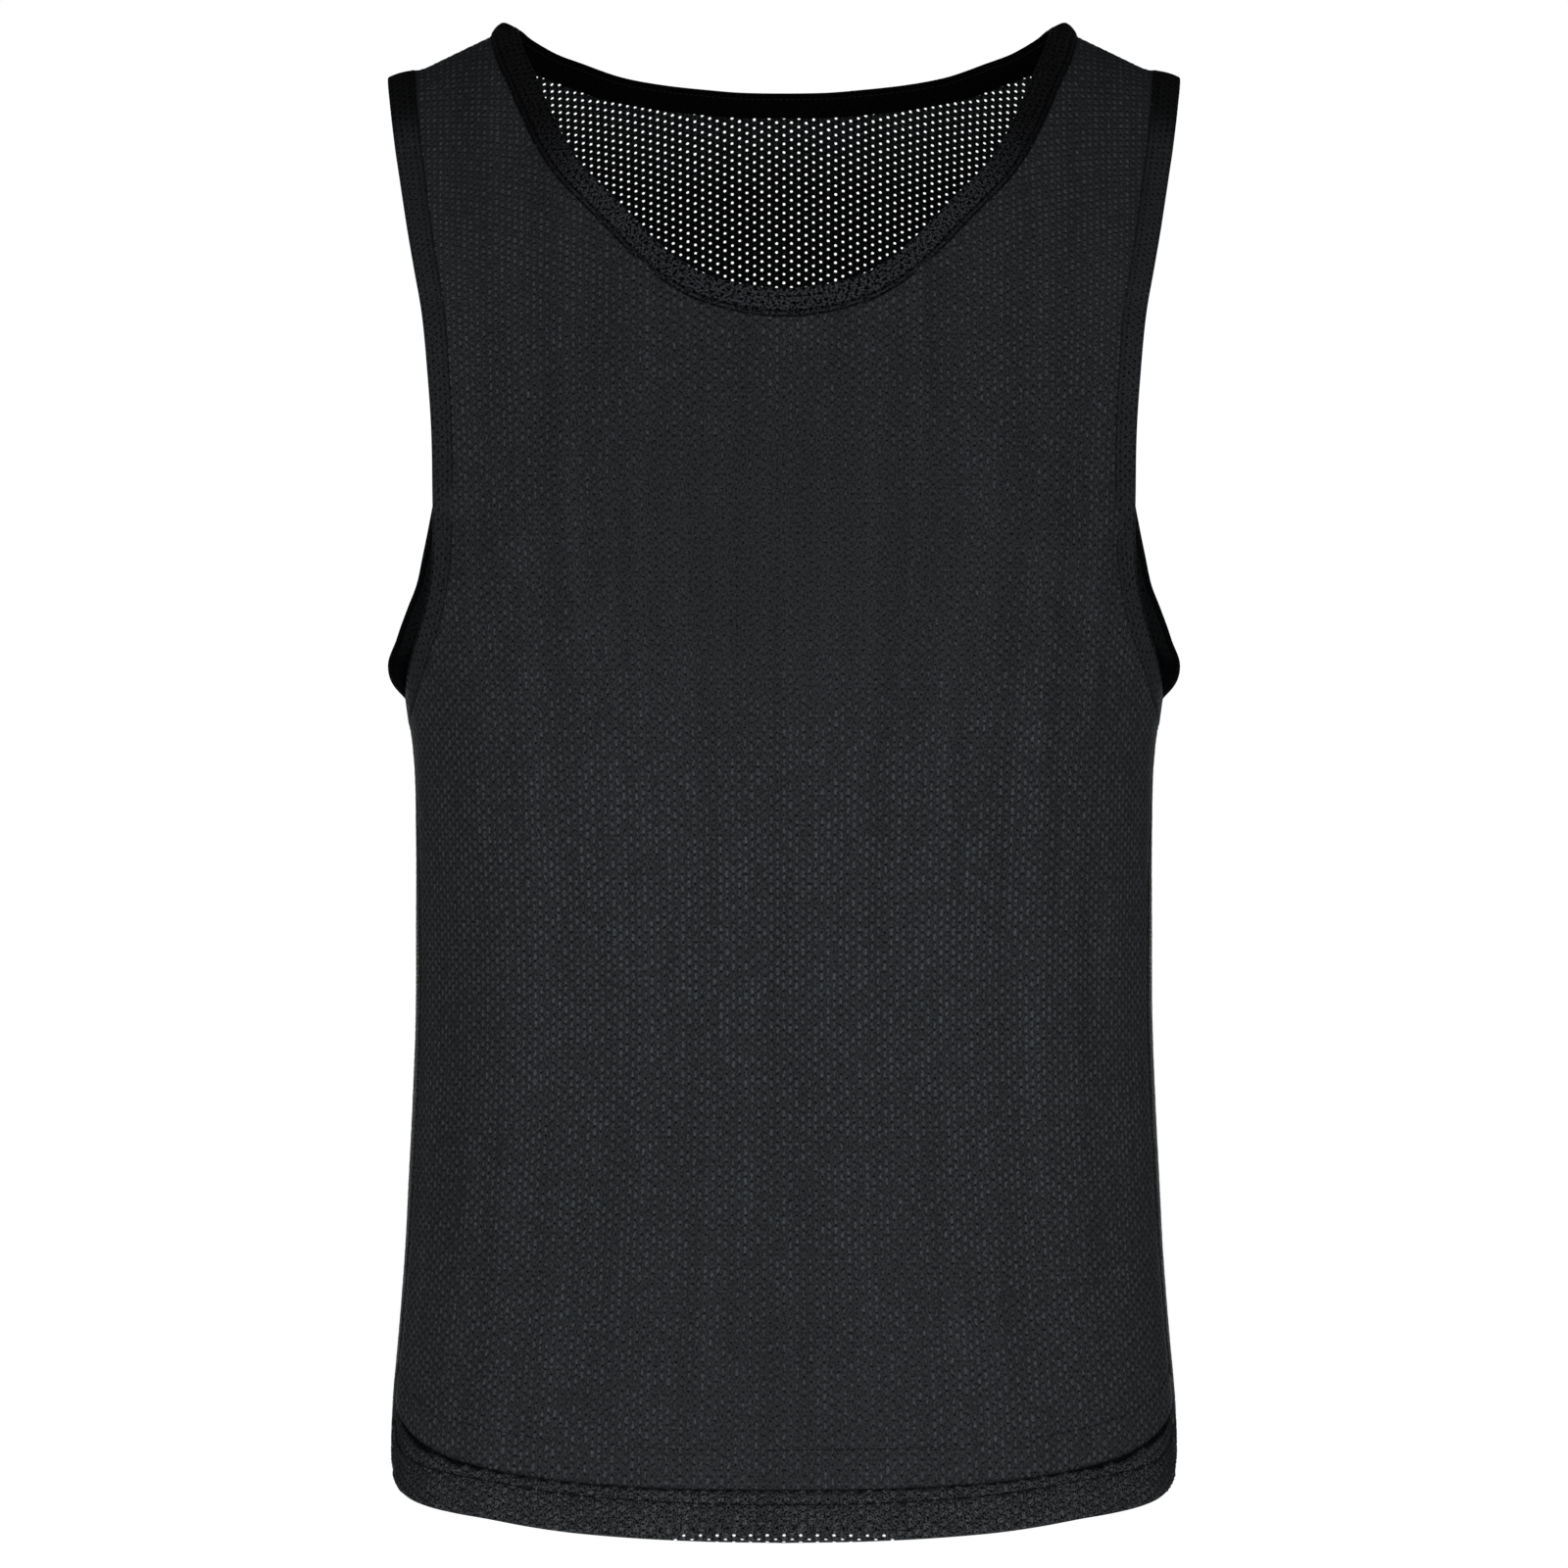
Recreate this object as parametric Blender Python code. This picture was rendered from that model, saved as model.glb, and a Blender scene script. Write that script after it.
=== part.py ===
"""Training bib: a sleeveless mesh top, filled out as it is on a wearer's shoulders.

The front faces -Y, +X is the right side of a viewer facing the front, and +Z is up. The origin
lies midway between the two straps, at the height where they rest on the shoulders.

Every piece of cloth is described in its own flat cut: `across` is the distance from the panel's
centre line, and `along` is the distance below the shoulder line, both measured on the cloth in
millimetres. `place` bends that flat cut onto the filled-out form.
"""

import bpy
import numpy as np

MILLIMETRE = 0.001

# Cloth and making
PANEL_WALL = 1.0           # one ply of mesh
BINDING_PROUD = 0.5        # binding stands out from the panel's outer face
BINDING_WALL = 2.0         # binding strip, folded double
SEAM_GAP = 0.3             # clearance between sewn pieces
NECK_BAND = 12.0           # finished width of the neck binding
ARM_BAND = 13.0            # finished width of the armhole bindings
HEM_TURN_UP = 26.0         # depth of the turned-up hem, stitched 18 mm above its fold
PLY_GAP = 0.3              # clearance inside the turned-up hem

# Filled-out form
RING_EXPONENT = 2.3        # level sections are slightly squarer than an ellipse
SHOULDER_SLOPE = 0.506     # fall of the shoulder line per millimetre across
SHOULDER_ROUND = 50.0      # the fall starts softly within this distance of the centre
SLOPE_START_LEVEL = -170.0


def table(columns, rows):
    """A short table with named columns."""
    return np.array(rows, dtype=[(name, float) for name in columns.split()])


# Level sections of the form from below the hem up to the shoulder line (mm)
SECTIONS = table("level half_width front_depth back_depth seam_forward", [
    (-730.0, 180.5, 106.5, 99.0, 18.0),
    (-690.0, 180.4, 106.0, 98.0, 18.0),
    (-650.0, 180.4, 105.0, 96.5, 19.0),
    (-620.0, 179.5, 104.0, 94.5, 20.0),
    (-585.0, 176.5, 102.5, 92.0, 22.0),
    (-550.0, 173.8, 101.0, 89.5, 23.0),
    (-515.0, 172.0, 99.5, 87.5, 25.0),
    (-479.0, 170.2, 98.3, 86.0, 25.0),
    (-443.0, 168.9, 97.8, 85.2, 25.0),
    (-400.0, 168.7, 98.0, 85.4, 24.0),
    (-360.0, 168.7, 99.2, 87.0, 20.0),
    (-325.0, 169.6, 101.2, 89.4, 10.0),
    (-295.0, 173.3, 103.0, 91.6, 1.0),
    (-265.0, 177.4, 104.6, 93.8, 0.0),
    (-230.0, 178.4, 105.4, 95.8, 0.0),
    (-190.0, 181.2, 104.2, 96.8, 0.0),
    (-145.0, 187.0, 98.6, 95.4, 0.0),
    (-100.0, 191.4, 90.6, 90.8, 0.0),
    (-60.0, 194.0, 81.2, 82.0, 0.0),
    (-22.0, 195.0, 68.6, 69.4, 0.0),
    (8.0, 195.0, 54.6, 55.4, 0.0),
    (31.0, 195.0, 38.2, 38.8, 0.0),
    (47.0, 195.0, 20.4, 20.6, 0.0),
    (55.1, 195.0, 0.0, 0.0, 0.0),
])

# Lower edge of each panel: distance from the centre line on the cloth, and level
HEM = {
    "front": table("across level", [
        (0.0, -649.2), (45.0, -648.8), (80.0, -647.6), (105.0, -646.0), (125.0, -643.8),
        (145.0, -641.0), (163.0, -637.4), (180.0, -632.3), (196.0, -626.0), (211.0, -618.6)]),
    "back": table("across level", [
        (0.0, -694.4), (40.0, -693.6), (67.0, -692.0), (86.0, -690.2), (105.0, -687.8),
        (124.0, -684.4), (144.0, -680.0), (163.0, -676.0), (181.0, -671.4), (197.0, -666.0),
        (211.0, -659.4), (222.0, -652.0), (231.0, -642.5), (238.0, -632.5), (245.0, -618.6)]),
}

# Finished edge of the neckline, from the centre line to the shoulder
NECKLINE = {
    "front": table("across level", [
        (0.0, -114.0), (18.0, -112.0), (37.0, -105.5), (49.0, -96.8), (60.0, -84.8),
        (71.5, -69.2), (81.5, -55.0), (91.8, -38.5), (100.3, -19.0), (107.2, 2.0),
        (113.8, 24.0), (119.5, 41.5), (122.6, 55.1)]),
    "back": table("across level", [
        (0.0, -11.6), (20.0, -9.8), (38.0, -4.8), (57.0, 2.8), (75.0, 12.6), (93.0, 26.2),
        (108.0, 38.6), (118.5, 49.6), (122.6, 55.1)]),
}

# Finished edge of the armhole, from the underarm seam up to the shoulder
ARMHOLE = {
    "front": table("across level", [
        (225.0, -296.0), (212.0, -293.5), (203.0, -288.0), (194.5, -280.5), (185.0, -269.5),
        (176.5, -256.0), (172.3, -242.0), (170.6, -224.0), (169.8, -200.0), (169.0, -175.0),
        (169.6, -145.0), (171.0, -114.0), (174.0, -82.0), (176.6, -49.0), (178.7, -15.0),
        (180.4, 13.5), (181.5, 38.0), (182.0, 55.1)]),
    "back": table("across level", [
        (220.5, -296.0), (216.5, -292.5), (211.5, -286.0), (206.0, -280.5), (199.5, -271.5),
        (195.0, -262.0), (190.5, -252.5), (186.0, -243.5), (182.3, -230.0), (178.5, -216.0),
        (172.5, -192.0), (169.0, -165.0), (168.0, -135.0), (170.0, -105.0), (173.5, -75.0),
        (176.2, -45.0), (178.7, -13.0), (180.4, 13.5), (181.5, 38.0), (182.0, 55.1)]),
}

# The back panel swings outward beside the underarm
UNDERARM_FLARE = table("level outward", [
    (-296.0, 0.0), (-290.0, 5.0), (-281.0, 8.0), (-268.0, 6.0), (-250.0, 3.6),
    (-225.0, 1.8), (-190.0, 0.0)])
FLARE_FULL = 15.0          # full flare within this distance of the side, on the cloth
FLARE_END = 75.0           # no flare further in than this

# The stiff armhole binding lifts the outer tip of the shoulder line
TIP_LIFT = 3.5
TIP_START_ACROSS = 163.0
TIP_FULL_ACROSS = 180.0
TIP_START_LEVEL = 10.0

# Soft folds: centre, half length, half width, lean of its length from upright, and height
FOLDS = {
    "front": table("across level half_length half_width lean height", [
        (-116.0, -420.0, 120.0, 26.0, 2.0, 2.4),
        (118.0, -412.0, 126.0, 27.0, -3.0, 2.5),
        (2.0, -405.0, 105.0, 46.0, 0.0, -2.2),
        (-60.0, -560.0, 90.0, 30.0, 4.0, 1.5),
        (66.0, -572.0, 82.0, 32.0, -5.0, 1.4),
        (-128.0, -232.0, 62.0, 15.0, 58.0, 1.5),
        (124.0, -226.0, 66.0, 16.0, -56.0, 1.4),
        (-92.0, -180.0, 60.0, 14.0, 38.0, 1.1),
        (96.0, -188.0, 56.0, 15.0, -40.0, 1.2),
    ]),
    "back": table("across level half_length half_width lean height", [
        (-104.0, -440.0, 130.0, 28.0, 3.0, 2.6),
        (110.0, -450.0, 122.0, 27.0, -2.0, 2.5),
        (-4.0, -470.0, 120.0, 44.0, 1.0, -2.8),
        (-52.0, -610.0, 80.0, 26.0, 5.0, 1.7),
        (58.0, -600.0, 86.0, 28.0, -4.0, 1.6),
        (-112.0, -226.0, 66.0, 16.0, 50.0, 1.6),
        (106.0, -236.0, 62.0, 15.0, -52.0, 1.6),
    ]),
}

FOLDS_FADE_SHARE = 0.86    # folds die away from this share of a panel's half-width outward

# Mesh densities of the solids
FORM_STEPS = 420           # sampled steps along the form, hem to shoulder
FORM_SHARES = 130          # sampled shares across half a panel
RING_SAMPLES = 481
EDGE_SAMPLES = 400
NECK_COLUMNS = {"front": 14, "back": 11}    # for each half of the neckline
STRAP_COLUMNS = 4          # panel columns that end on the shoulder seam, for each half
SEAM_ROWS = 8              # panel rows beside the side seam
ARMHOLE_ROWS = 20          # panel rows beside the armhole
END_CROWDING = 0.5         # how much closer the stations of an edge lie at both its ends
CENTRE_DROP = 34.0         # the row that meets the underarm lies this much lower at the centre
LEAST_DEPTH = 1e-4         # keeps the shoulder line a ring
SHARP_ANGLE = np.radians(50.0)
FOLD_ANGLES = (45.0, 90.0, 135.0)
HEM_PLY_ROWS = 2

TO_LEFT = np.array([-1.0, 1.0])    # turns a point of the flat cut over to the left half

CLOTH_COLOUR = (0.018, 0.019, 0.022, 1.0)
BINDING_COLOUR = (0.012, 0.0125, 0.014, 1.0)
CLOTH_ROUGHNESS = 0.82


def smooth_curve(at, knots, values):
    """A smooth curve through the knots, with centred tangents, read at `at`."""
    tangents = np.gradient(values, knots)
    cell = np.clip(np.searchsorted(knots, at) - 1, 0, len(knots) - 2)
    width = knots[cell + 1] - knots[cell]
    t = np.clip((at - knots[cell]) / width, 0.0, 1.0)
    start = (1.0 + 2.0 * t) * (1.0 - t) ** 2 * values[cell]
    end = t ** 2 * (3.0 - 2.0 * t) * values[cell + 1]
    bend = t * (1.0 - t) * ((1.0 - t) * tangents[cell] - t * tangents[cell + 1])
    return start + end + bend * width


def smooth_step(value, low, high):
    t = np.clip((value - low) / (high - low), 0.0, 1.0)
    return t * t * (3.0 - 2.0 * t)


def chord_lengths(x, y):
    """Running length of a polyline."""
    return np.append(0.0, np.cumsum(np.hypot(np.diff(x), np.diff(y))))


def profile(side):
    """Levels and depths up the centre line, evenly spaced along the cloth; 0 is the shoulder."""
    level = SECTIONS["level"]
    depth = SECTIONS[side + "_depth"]
    level = np.append(level, level[-2])
    depth = np.append(depth, -depth[-2])
    run = chord_lengths(level, depth)
    shoulder = run[-2]
    at = np.linspace(0.0, shoulder, FORM_STEPS)
    return at - shoulder, smooth_curve(at, run, level), smooth_curve(at, run, depth)


def section_value(level, column):
    return smooth_curve(level, SECTIONS["level"], SECTIONS[column])


def half_ring(half_width, front_depth, back_depth):
    """One level section from the front centre round to the back centre."""
    angle = np.linspace(0.0, np.pi, RING_SAMPLES)
    power = 2.0 / RING_EXPONENT
    x = half_width * np.abs(np.sin(angle)) ** power
    forward = np.abs(np.cos(angle)) ** power
    y = np.where(angle < np.pi / 2.0, -front_depth * forward, back_depth * forward)
    return x, y, chord_lengths(x, y)


def fold_relief(side, across, level):
    """Height of the soft folds over the plain form."""
    relief = np.zeros(np.broadcast(across, level).shape)
    for fold in FOLDS[side]:
        lean = np.radians(fold["lean"])
        right = across - fold["across"]
        up = level - fold["level"]
        lengthwise = up * np.cos(lean) + right * np.sin(lean)
        sideways = right * np.cos(lean) - up * np.sin(lean)
        reach = (lengthwise / fold["half_length"]) ** 2 + (sideways / fold["half_width"]) ** 2
        relief += fold["height"] * np.exp(-reach)
    return relief


def surface_normals(points):
    """Outward unit normals of a sampled form."""
    along = np.gradient(points, axis=0)
    across = np.gradient(points, axis=1)
    normals = np.cross(across, along)
    return normals / np.linalg.norm(normals, axis=2, keepdims=True)


def build_form(side):
    """Sample the outer face of one side: rows run up the cloth, columns across it."""
    along, level, depth = profile(side)
    other = {"front": "back", "back": "front"}[side]
    other_depth = np.maximum(section_value(level, other + "_depth"), 0.0)
    half_width = section_value(level, "half_width")
    seam_forward = np.maximum(section_value(level, "seam_forward"), 0.0)
    shares = np.linspace(0.0, 1.0, FORM_SHARES)
    half_cut = np.zeros(FORM_STEPS)
    half = np.zeros((FORM_STEPS, FORM_SHARES, 3))
    for row in range(FORM_STEPS):
        depths = {side: max(depth[row], LEAST_DEPTH), other: max(other_depth[row], LEAST_DEPTH)}
        x, y, run = half_ring(half_width[row], depths["front"], depths["back"])
        seam = np.interp(-seam_forward[row], y, run)
        start = 0.0 if side == "front" else run[-1]
        at = start + (seam - start) * shares
        half_cut[row] = abs(seam - start)
        half[row, :, 0] = np.interp(at, run, x)
        half[row, :, 1] = np.interp(at, run, y)
    slope = SHOULDER_SLOPE * smooth_step(level, SLOPE_START_LEVEL, SECTIONS["level"][-1])
    fall = np.hypot(half[:, :, 0], SHOULDER_ROUND) - SHOULDER_ROUND
    tip = smooth_step(half[:, :, 0], TIP_START_ACROSS, TIP_FULL_ACROSS)
    tip *= smooth_step(level, TIP_START_LEVEL, SECTIONS["level"][-1])[:, None]
    half[:, :, 2] = level[:, None] - slope[:, None] * fall + TIP_LIFT * tip
    if side == "back":
        flare = smooth_curve(level, UNDERARM_FLARE["level"], UNDERARM_FLARE["outward"])
        from_seam = half_cut[:, None] * (1.0 - shares[None, :])
        half[:, :, 0] += flare[:, None] * (1.0 - smooth_step(from_seam, FLARE_FULL, FLARE_END))
    left = half[:, :0:-1, :] * np.array([-1.0, 1.0, 1.0])
    points = np.concatenate([left, half], axis=1)
    turn = 1.0 if side == "front" else -1.0
    signed_shares = np.concatenate([-shares[:0:-1], shares])
    across = signed_shares[None, :] * half_cut[:, None]
    quiet_edge = 1.0 - smooth_step(np.abs(signed_shares), FOLDS_FADE_SHARE, 1.0)
    relief = fold_relief(side, across, level[:, None]) * quiet_edge[None, :]
    points = points + surface_normals(points) * turn * relief[:, :, None]
    normals = surface_normals(points) * turn
    normals[-1, :, 1] = 0.0    # front and back meet smoothly along the shoulder line
    return {"along": along, "level": level, "half_cut": half_cut, "points": points,
            "normals": normals}


FORM = {side: build_form(side) for side in ("front", "back")}


def along_at_level(side, level):
    return np.interp(level, FORM[side]["level"], FORM[side]["along"])


def level_at(side, along):
    return np.interp(along, FORM[side]["along"], FORM[side]["level"])


def half_cut_at(side, along):
    return np.interp(along, FORM[side]["along"], FORM[side]["half_cut"])


def place(side, across, along, lift=0.0):
    """Bend points of the flat cut onto the form, `lift` millimetres out from its face."""
    form = FORM[side]
    share = np.clip(across / half_cut_at(side, along), -1.0, 1.0)
    row = np.clip((along - form["along"][0]) / (form["along"][1] - form["along"][0]),
                  0.0, FORM_STEPS - 1.001)
    column = np.clip((share + 1.0) * (FORM_SHARES - 1), 0.0, 2 * FORM_SHARES - 2.001)
    i, j = row.astype(int), column.astype(int)
    u, v = (row - i)[..., None], (column - j)[..., None]

    def blend(samples):
        lower = samples[i, j] * (1.0 - v) + samples[i, j + 1] * v
        upper = samples[i + 1, j] * (1.0 - v) + samples[i + 1, j + 1] * v
        return lower * (1.0 - u) + upper * u

    normal = blend(form["normals"])
    normal /= np.linalg.norm(normal, axis=-1, keepdims=True)
    return blend(form["points"]) + normal * np.asarray(lift)[..., None]


def even_points(start, end, count):
    """`count` + 1 points on a straight line in the flat cut."""
    share = np.linspace(0.0, 1.0, count + 1)[:, None]
    return (1.0 - share) * np.asarray(start) + share * np.asarray(end)


def edge_line(side, rows, start_mirror):
    """A smooth finished edge in the flat cut, crossing its seams squarely."""
    across = rows["across"].copy()
    along = along_at_level(side, rows["level"])
    if start_mirror == "side seam":
        across[0] = half_cut_at(side, along[0])
    before = (2.0 * across[0] - across[1], along[1])
    after = (across[-2], 2.0 * along[-1] - along[-2])
    knots = np.array([before, *zip(across, along), after])
    run = chord_lengths(knots[:, 0], knots[:, 1])
    at = np.linspace(run[1], run[-2], EDGE_SAMPLES)
    return np.stack([smooth_curve(at, run, knots[:, 0]), smooth_curve(at, run, knots[:, 1])],
                    axis=1)


def offset_line(line, distance):
    """The line moved sideways in the flat cut, to its right as it runs."""
    run = np.gradient(line, axis=0)
    run /= np.linalg.norm(run, axis=1, keepdims=True)
    run[0] = np.round(run[0])
    run[-1] = np.round(run[-1])
    return line + distance * np.stack([run[:, 1], -run[:, 0]], axis=1)


def stations(finished, line, count):
    """Points of a line offset from a finished edge, abreast of the same stations on it."""
    run = chord_lengths(finished[:, 0], finished[:, 1])
    share = np.linspace(0.0, 1.0, count + 1)
    at = run[-1] * (share - END_CROWDING * np.sin(2.0 * np.pi * share) / (2.0 * np.pi))
    return np.stack([np.interp(at, run, line[:, 0]), np.interp(at, run, line[:, 1])], axis=1)


def neck_line(side, inset):
    finished = edge_line(side, NECKLINE[side], "centre")
    return stations(finished, offset_line(finished, inset), NECK_COLUMNS[side])


def armhole_line(side, inset):
    finished = edge_line(side, ARMHOLE[side], "side seam")
    return stations(finished, offset_line(finished, -inset), ARMHOLE_ROWS)


def hem_along(side, across):
    rows = HEM[side]
    ends_flat = smooth_curve(np.abs(across), rows["across"], rows["level"])
    return along_at_level(side, ends_flat)


def panel_boundaries(side):
    """The four edges of half a panel in the flat cut: bottom, top, centre and outer edge."""
    half_gap = SEAM_GAP / 2.0
    fold_radius = (2.0 * PANEL_WALL + PLY_GAP) / 2.0
    neck = neck_line(side, NECK_BAND + half_gap)
    arm = armhole_line(side, ARM_BAND + half_gap)
    neck[-1, 1] = -half_gap
    arm[-1, 1] = -half_gap
    arm[0, 0] = half_cut_at(side, arm[0, 1]) - half_gap
    shoulder = even_points(neck[-1], arm[-1], STRAP_COLUMNS)
    top = np.concatenate([neck, shoulder[1:]])
    corner = HEM[side]["across"][-1]
    corner_along = hem_along(side, corner) + fold_radius
    corner = half_cut_at(side, corner_along) - half_gap
    bottom_across = np.linspace(0.0, corner, len(top))
    bottom = np.stack([bottom_across, hem_along(side, bottom_across) + fold_radius], axis=1)
    bottom[-1, 1] = corner_along
    seam_levels = level_at(side, np.array([corner_along, arm[0, 1]]))
    seam_along = along_at_level(side, np.linspace(*seam_levels, SEAM_ROWS + 1))
    seam = np.stack([half_cut_at(side, seam_along) - half_gap, seam_along], axis=1)
    outer = np.concatenate([seam, arm[1:]])
    underarm_row = arm[0, 1] - CENTRE_DROP
    middle_low = np.linspace(bottom[0, 1], underarm_row, SEAM_ROWS + 1)
    middle_high = np.linspace(underarm_row, top[0, 1], ARMHOLE_ROWS + 1)
    middle_along = np.concatenate([middle_low, middle_high[1:]])
    middle = np.stack([np.zeros(len(middle_along)), middle_along], axis=1)
    return bottom, top, middle, outer


def half_panel_grid(side):
    """Rows (hem to top) and columns (centre to outer edge) of half a panel in the flat cut."""
    bottom, top, middle, outer = panel_boundaries(side)
    c = np.linspace(0.0, 1.0, len(bottom))[None, :, None]
    t = np.linspace(0.0, 1.0, len(outer))[:, None, None]
    ruled = (1.0 - t) * bottom[None] + t * top[None]
    swept = (1.0 - c) * middle[:, None] + c * outer[:, None]
    corners = ((1.0 - t) * ((1.0 - c) * bottom[0] + c * bottom[-1])
               + t * ((1.0 - c) * top[0] + c * top[-1]))
    return ruled + swept - corners


def hem_rows(side, bottom_row):
    """Sheet rows below the panel grid: round the fold and up the turned-up ply."""
    radius = (2.0 * PANEL_WALL + PLY_GAP) / 2.0
    outer, inner = [], []
    across, base = bottom_row[:, 0], bottom_row[:, 1]
    for angle in np.radians(FOLD_ANGLES):
        down, inward = np.sin(angle), np.cos(angle)
        for rows, reach in ((outer, radius), (inner, PLY_GAP / 2.0)):
            lift = -radius + reach * inward
            rows.append(place(side, across, base - reach * down, lift))
    heights = np.linspace(0.0, HEM_TURN_UP - radius, HEM_PLY_ROWS + 1)
    for height in heights:
        level_across = across * half_cut_at(side, base + height) / half_cut_at(side, base)
        ply = np.full(len(base), -(2.0 * PANEL_WALL + PLY_GAP))
        outer.append(place(side, level_across, base + height, ply))
        inner.append(place(side, level_across, base + height, ply + PANEL_WALL))
    return outer, inner


def add_solid(name, vertices, faces, material):
    """A named object from points in millimetres."""
    mesh = bpy.data.meshes.new(name)
    mesh.from_pydata((np.asarray(vertices) * MILLIMETRE).tolist(), [], faces)
    mesh.materials.append(material)
    mesh.validate()
    mesh.shade_smooth()
    mesh.set_sharp_from_angle(angle=SHARP_ANGLE)
    solid = bpy.data.objects.new(name, mesh)
    bpy.context.scene.collection.objects.link(solid)
    return solid


def sheet_solid(name, outer, inner, material, flip):
    """A closed wall between two matching grids of points."""
    rows, columns = outer.shape[:2]
    count = rows * columns
    index = np.arange(count).reshape(rows, columns)
    faces = []
    for r in range(rows - 1):
        for c in range(columns - 1):
            a, b = index[r, c], index[r, c + 1]
            d, e = index[r + 1, c + 1], index[r + 1, c]
            faces.append((a, b, d, e))
            faces.append((e + count, d + count, b + count, a + count))
    rim = list(index[0, :]) + list(index[1:, -1]) + list(index[-1, -2::-1]) + list(index[-2:0:-1, 0])
    for here, there in zip(rim, rim[1:] + rim[:1]):
        faces.append((there, here, here + count, there + count))
    if flip:
        faces = [tuple(reversed(face)) for face in faces]
    faces = [tuple(int(corner) for corner in face) for face in faces]
    vertices = np.concatenate([outer.reshape(-1, 3), inner.reshape(-1, 3)])
    return add_solid(name, vertices, faces, material)


def build_panel(name, side, material):
    half = half_panel_grid(side)
    mirrored = half[:, :0:-1] * TO_LEFT
    cut = np.concatenate([mirrored, half], axis=1)[::-1]
    face = place(side, cut[..., 0], cut[..., 1])
    lining = place(side, cut[..., 0], cut[..., 1], np.full(cut.shape[:2], -PANEL_WALL))
    hem_outer, hem_inner = hem_rows(side, cut[-1])
    outer = np.concatenate([face, np.array(hem_outer)])
    inner = np.concatenate([lining, np.array(hem_inner)])
    return sheet_solid(name, outer, inner, material, flip=(side == "front"))


# Cross-section of a folded binding: share of its width from the seam, and share of its wall
BINDING_SECTION = table("width_share wall_share", [
    (0.0, 0.0), (0.5, 0.0), (0.92, 0.0), (1.0, 0.5), (0.92, 1.0), (0.5, 1.0), (0.0, 1.0)])


def band_rings(side, seam, free):
    """Closed cross-sections of a binding between its seam and its free edge."""
    share = BINDING_SECTION["width_share"][None, :, None]
    cut = (1.0 - share) * seam[:, None] + share * free[:, None]
    lift = BINDING_PROUD - BINDING_WALL * BINDING_SECTION["wall_share"]
    lift = np.broadcast_to(lift[None, :], cut.shape[:2])
    return place(side, cut[..., 0], cut[..., 1], lift)


def loop_solid(name, rings, material):
    """A closed band through cross-sections that return to the first one."""
    count, points = rings.shape[:2]
    faces = []
    for station in range(count):
        after = (station + 1) % count
        for corner in range(points):
            nearby = (corner + 1) % points
            faces.append((station * points + corner, station * points + nearby,
                          after * points + nearby, after * points + corner))
    return add_solid(name, rings.reshape(-1, 3), faces, material)


def build_neck_binding(material):
    """Front half from the right shoulder to the left one, then the back half home again."""
    half_gap = SEAM_GAP / 2.0
    parts = {}
    for side in ("front", "back"):
        seam = neck_line(side, NECK_BAND - half_gap)
        free = neck_line(side, 0.0)
        parts[side] = (band_rings(side, seam, free), band_rings(side, seam * TO_LEFT, free * TO_LEFT))
    front_right, front_left = parts["front"]
    back_right, back_left = parts["back"]
    rings = np.concatenate([front_right[:0:-1], front_left[:-1], back_left[:0:-1],
                            back_right[:-1]])
    return loop_solid("neck_binding", rings, material)


def build_armhole_binding(name, hand, material):
    """Up the front from the underarm seam to the shoulder, and down the back."""
    half_gap = SEAM_GAP / 2.0
    halves = []
    for side in ("front", "back"):
        seam = armhole_line(side, ARM_BAND - half_gap) * np.array([hand, 1.0])
        free = armhole_line(side, 0.0) * np.array([hand, 1.0])
        halves.append(band_rings(side, seam, free))
    front, back = halves
    rings = np.concatenate([front[:-1], back[:0:-1]])
    if hand < 0.0:
        rings = rings[::-1]
    return loop_solid(name, rings, material)


def cloth_material(name, colour):
    material = bpy.data.materials.new(name)
    material.use_nodes = True
    shader = material.node_tree.nodes["Principled BSDF"]
    shader.inputs["Base Color"].default_value = colour
    shader.inputs["Roughness"].default_value = CLOTH_ROUGHNESS
    shader.inputs["Metallic"].default_value = 0.0
    material.diffuse_color = colour
    return material


def main():
    for thing in list(bpy.data.objects):
        bpy.data.objects.remove(thing, do_unlink=True)
    build_panel("front_panel", "front", cloth_material("front_mesh", CLOTH_COLOUR))
    build_panel("back_panel", "back", cloth_material("back_mesh", CLOTH_COLOUR))
    build_neck_binding(cloth_material("neck_strip", BINDING_COLOUR))
    for name, hand in (("armhole_binding_left", -1.0), ("armhole_binding_right", 1.0)):
        build_armhole_binding(name, hand, cloth_material(name + "_strip", BINDING_COLOUR))


main()
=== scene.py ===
"""Training bib in open sports mesh: the finish of every piece of cloth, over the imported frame.

The front faces -Y, +X is the right side of a viewer facing the front, and +Z is up. Sizes are in
millimetres up to `add_piece`. A point of cloth is given in its panel's flat cut: `across` from the
centre line, `along` below the shoulder line.
"""

import bpy
import numpy as np
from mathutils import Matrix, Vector


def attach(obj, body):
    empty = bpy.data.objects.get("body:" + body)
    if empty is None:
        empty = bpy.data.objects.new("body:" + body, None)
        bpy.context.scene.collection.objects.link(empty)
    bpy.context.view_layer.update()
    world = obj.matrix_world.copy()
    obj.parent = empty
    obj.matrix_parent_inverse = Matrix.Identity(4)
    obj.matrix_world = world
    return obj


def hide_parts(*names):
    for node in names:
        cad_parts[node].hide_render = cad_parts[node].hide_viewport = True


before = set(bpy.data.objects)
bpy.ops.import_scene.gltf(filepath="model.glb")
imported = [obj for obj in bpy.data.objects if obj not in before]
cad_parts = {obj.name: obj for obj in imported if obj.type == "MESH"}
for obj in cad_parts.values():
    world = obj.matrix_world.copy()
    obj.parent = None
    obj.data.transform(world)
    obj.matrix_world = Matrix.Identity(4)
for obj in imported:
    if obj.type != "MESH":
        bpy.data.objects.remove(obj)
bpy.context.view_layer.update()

MILLIMETRE = 0.001
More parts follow.
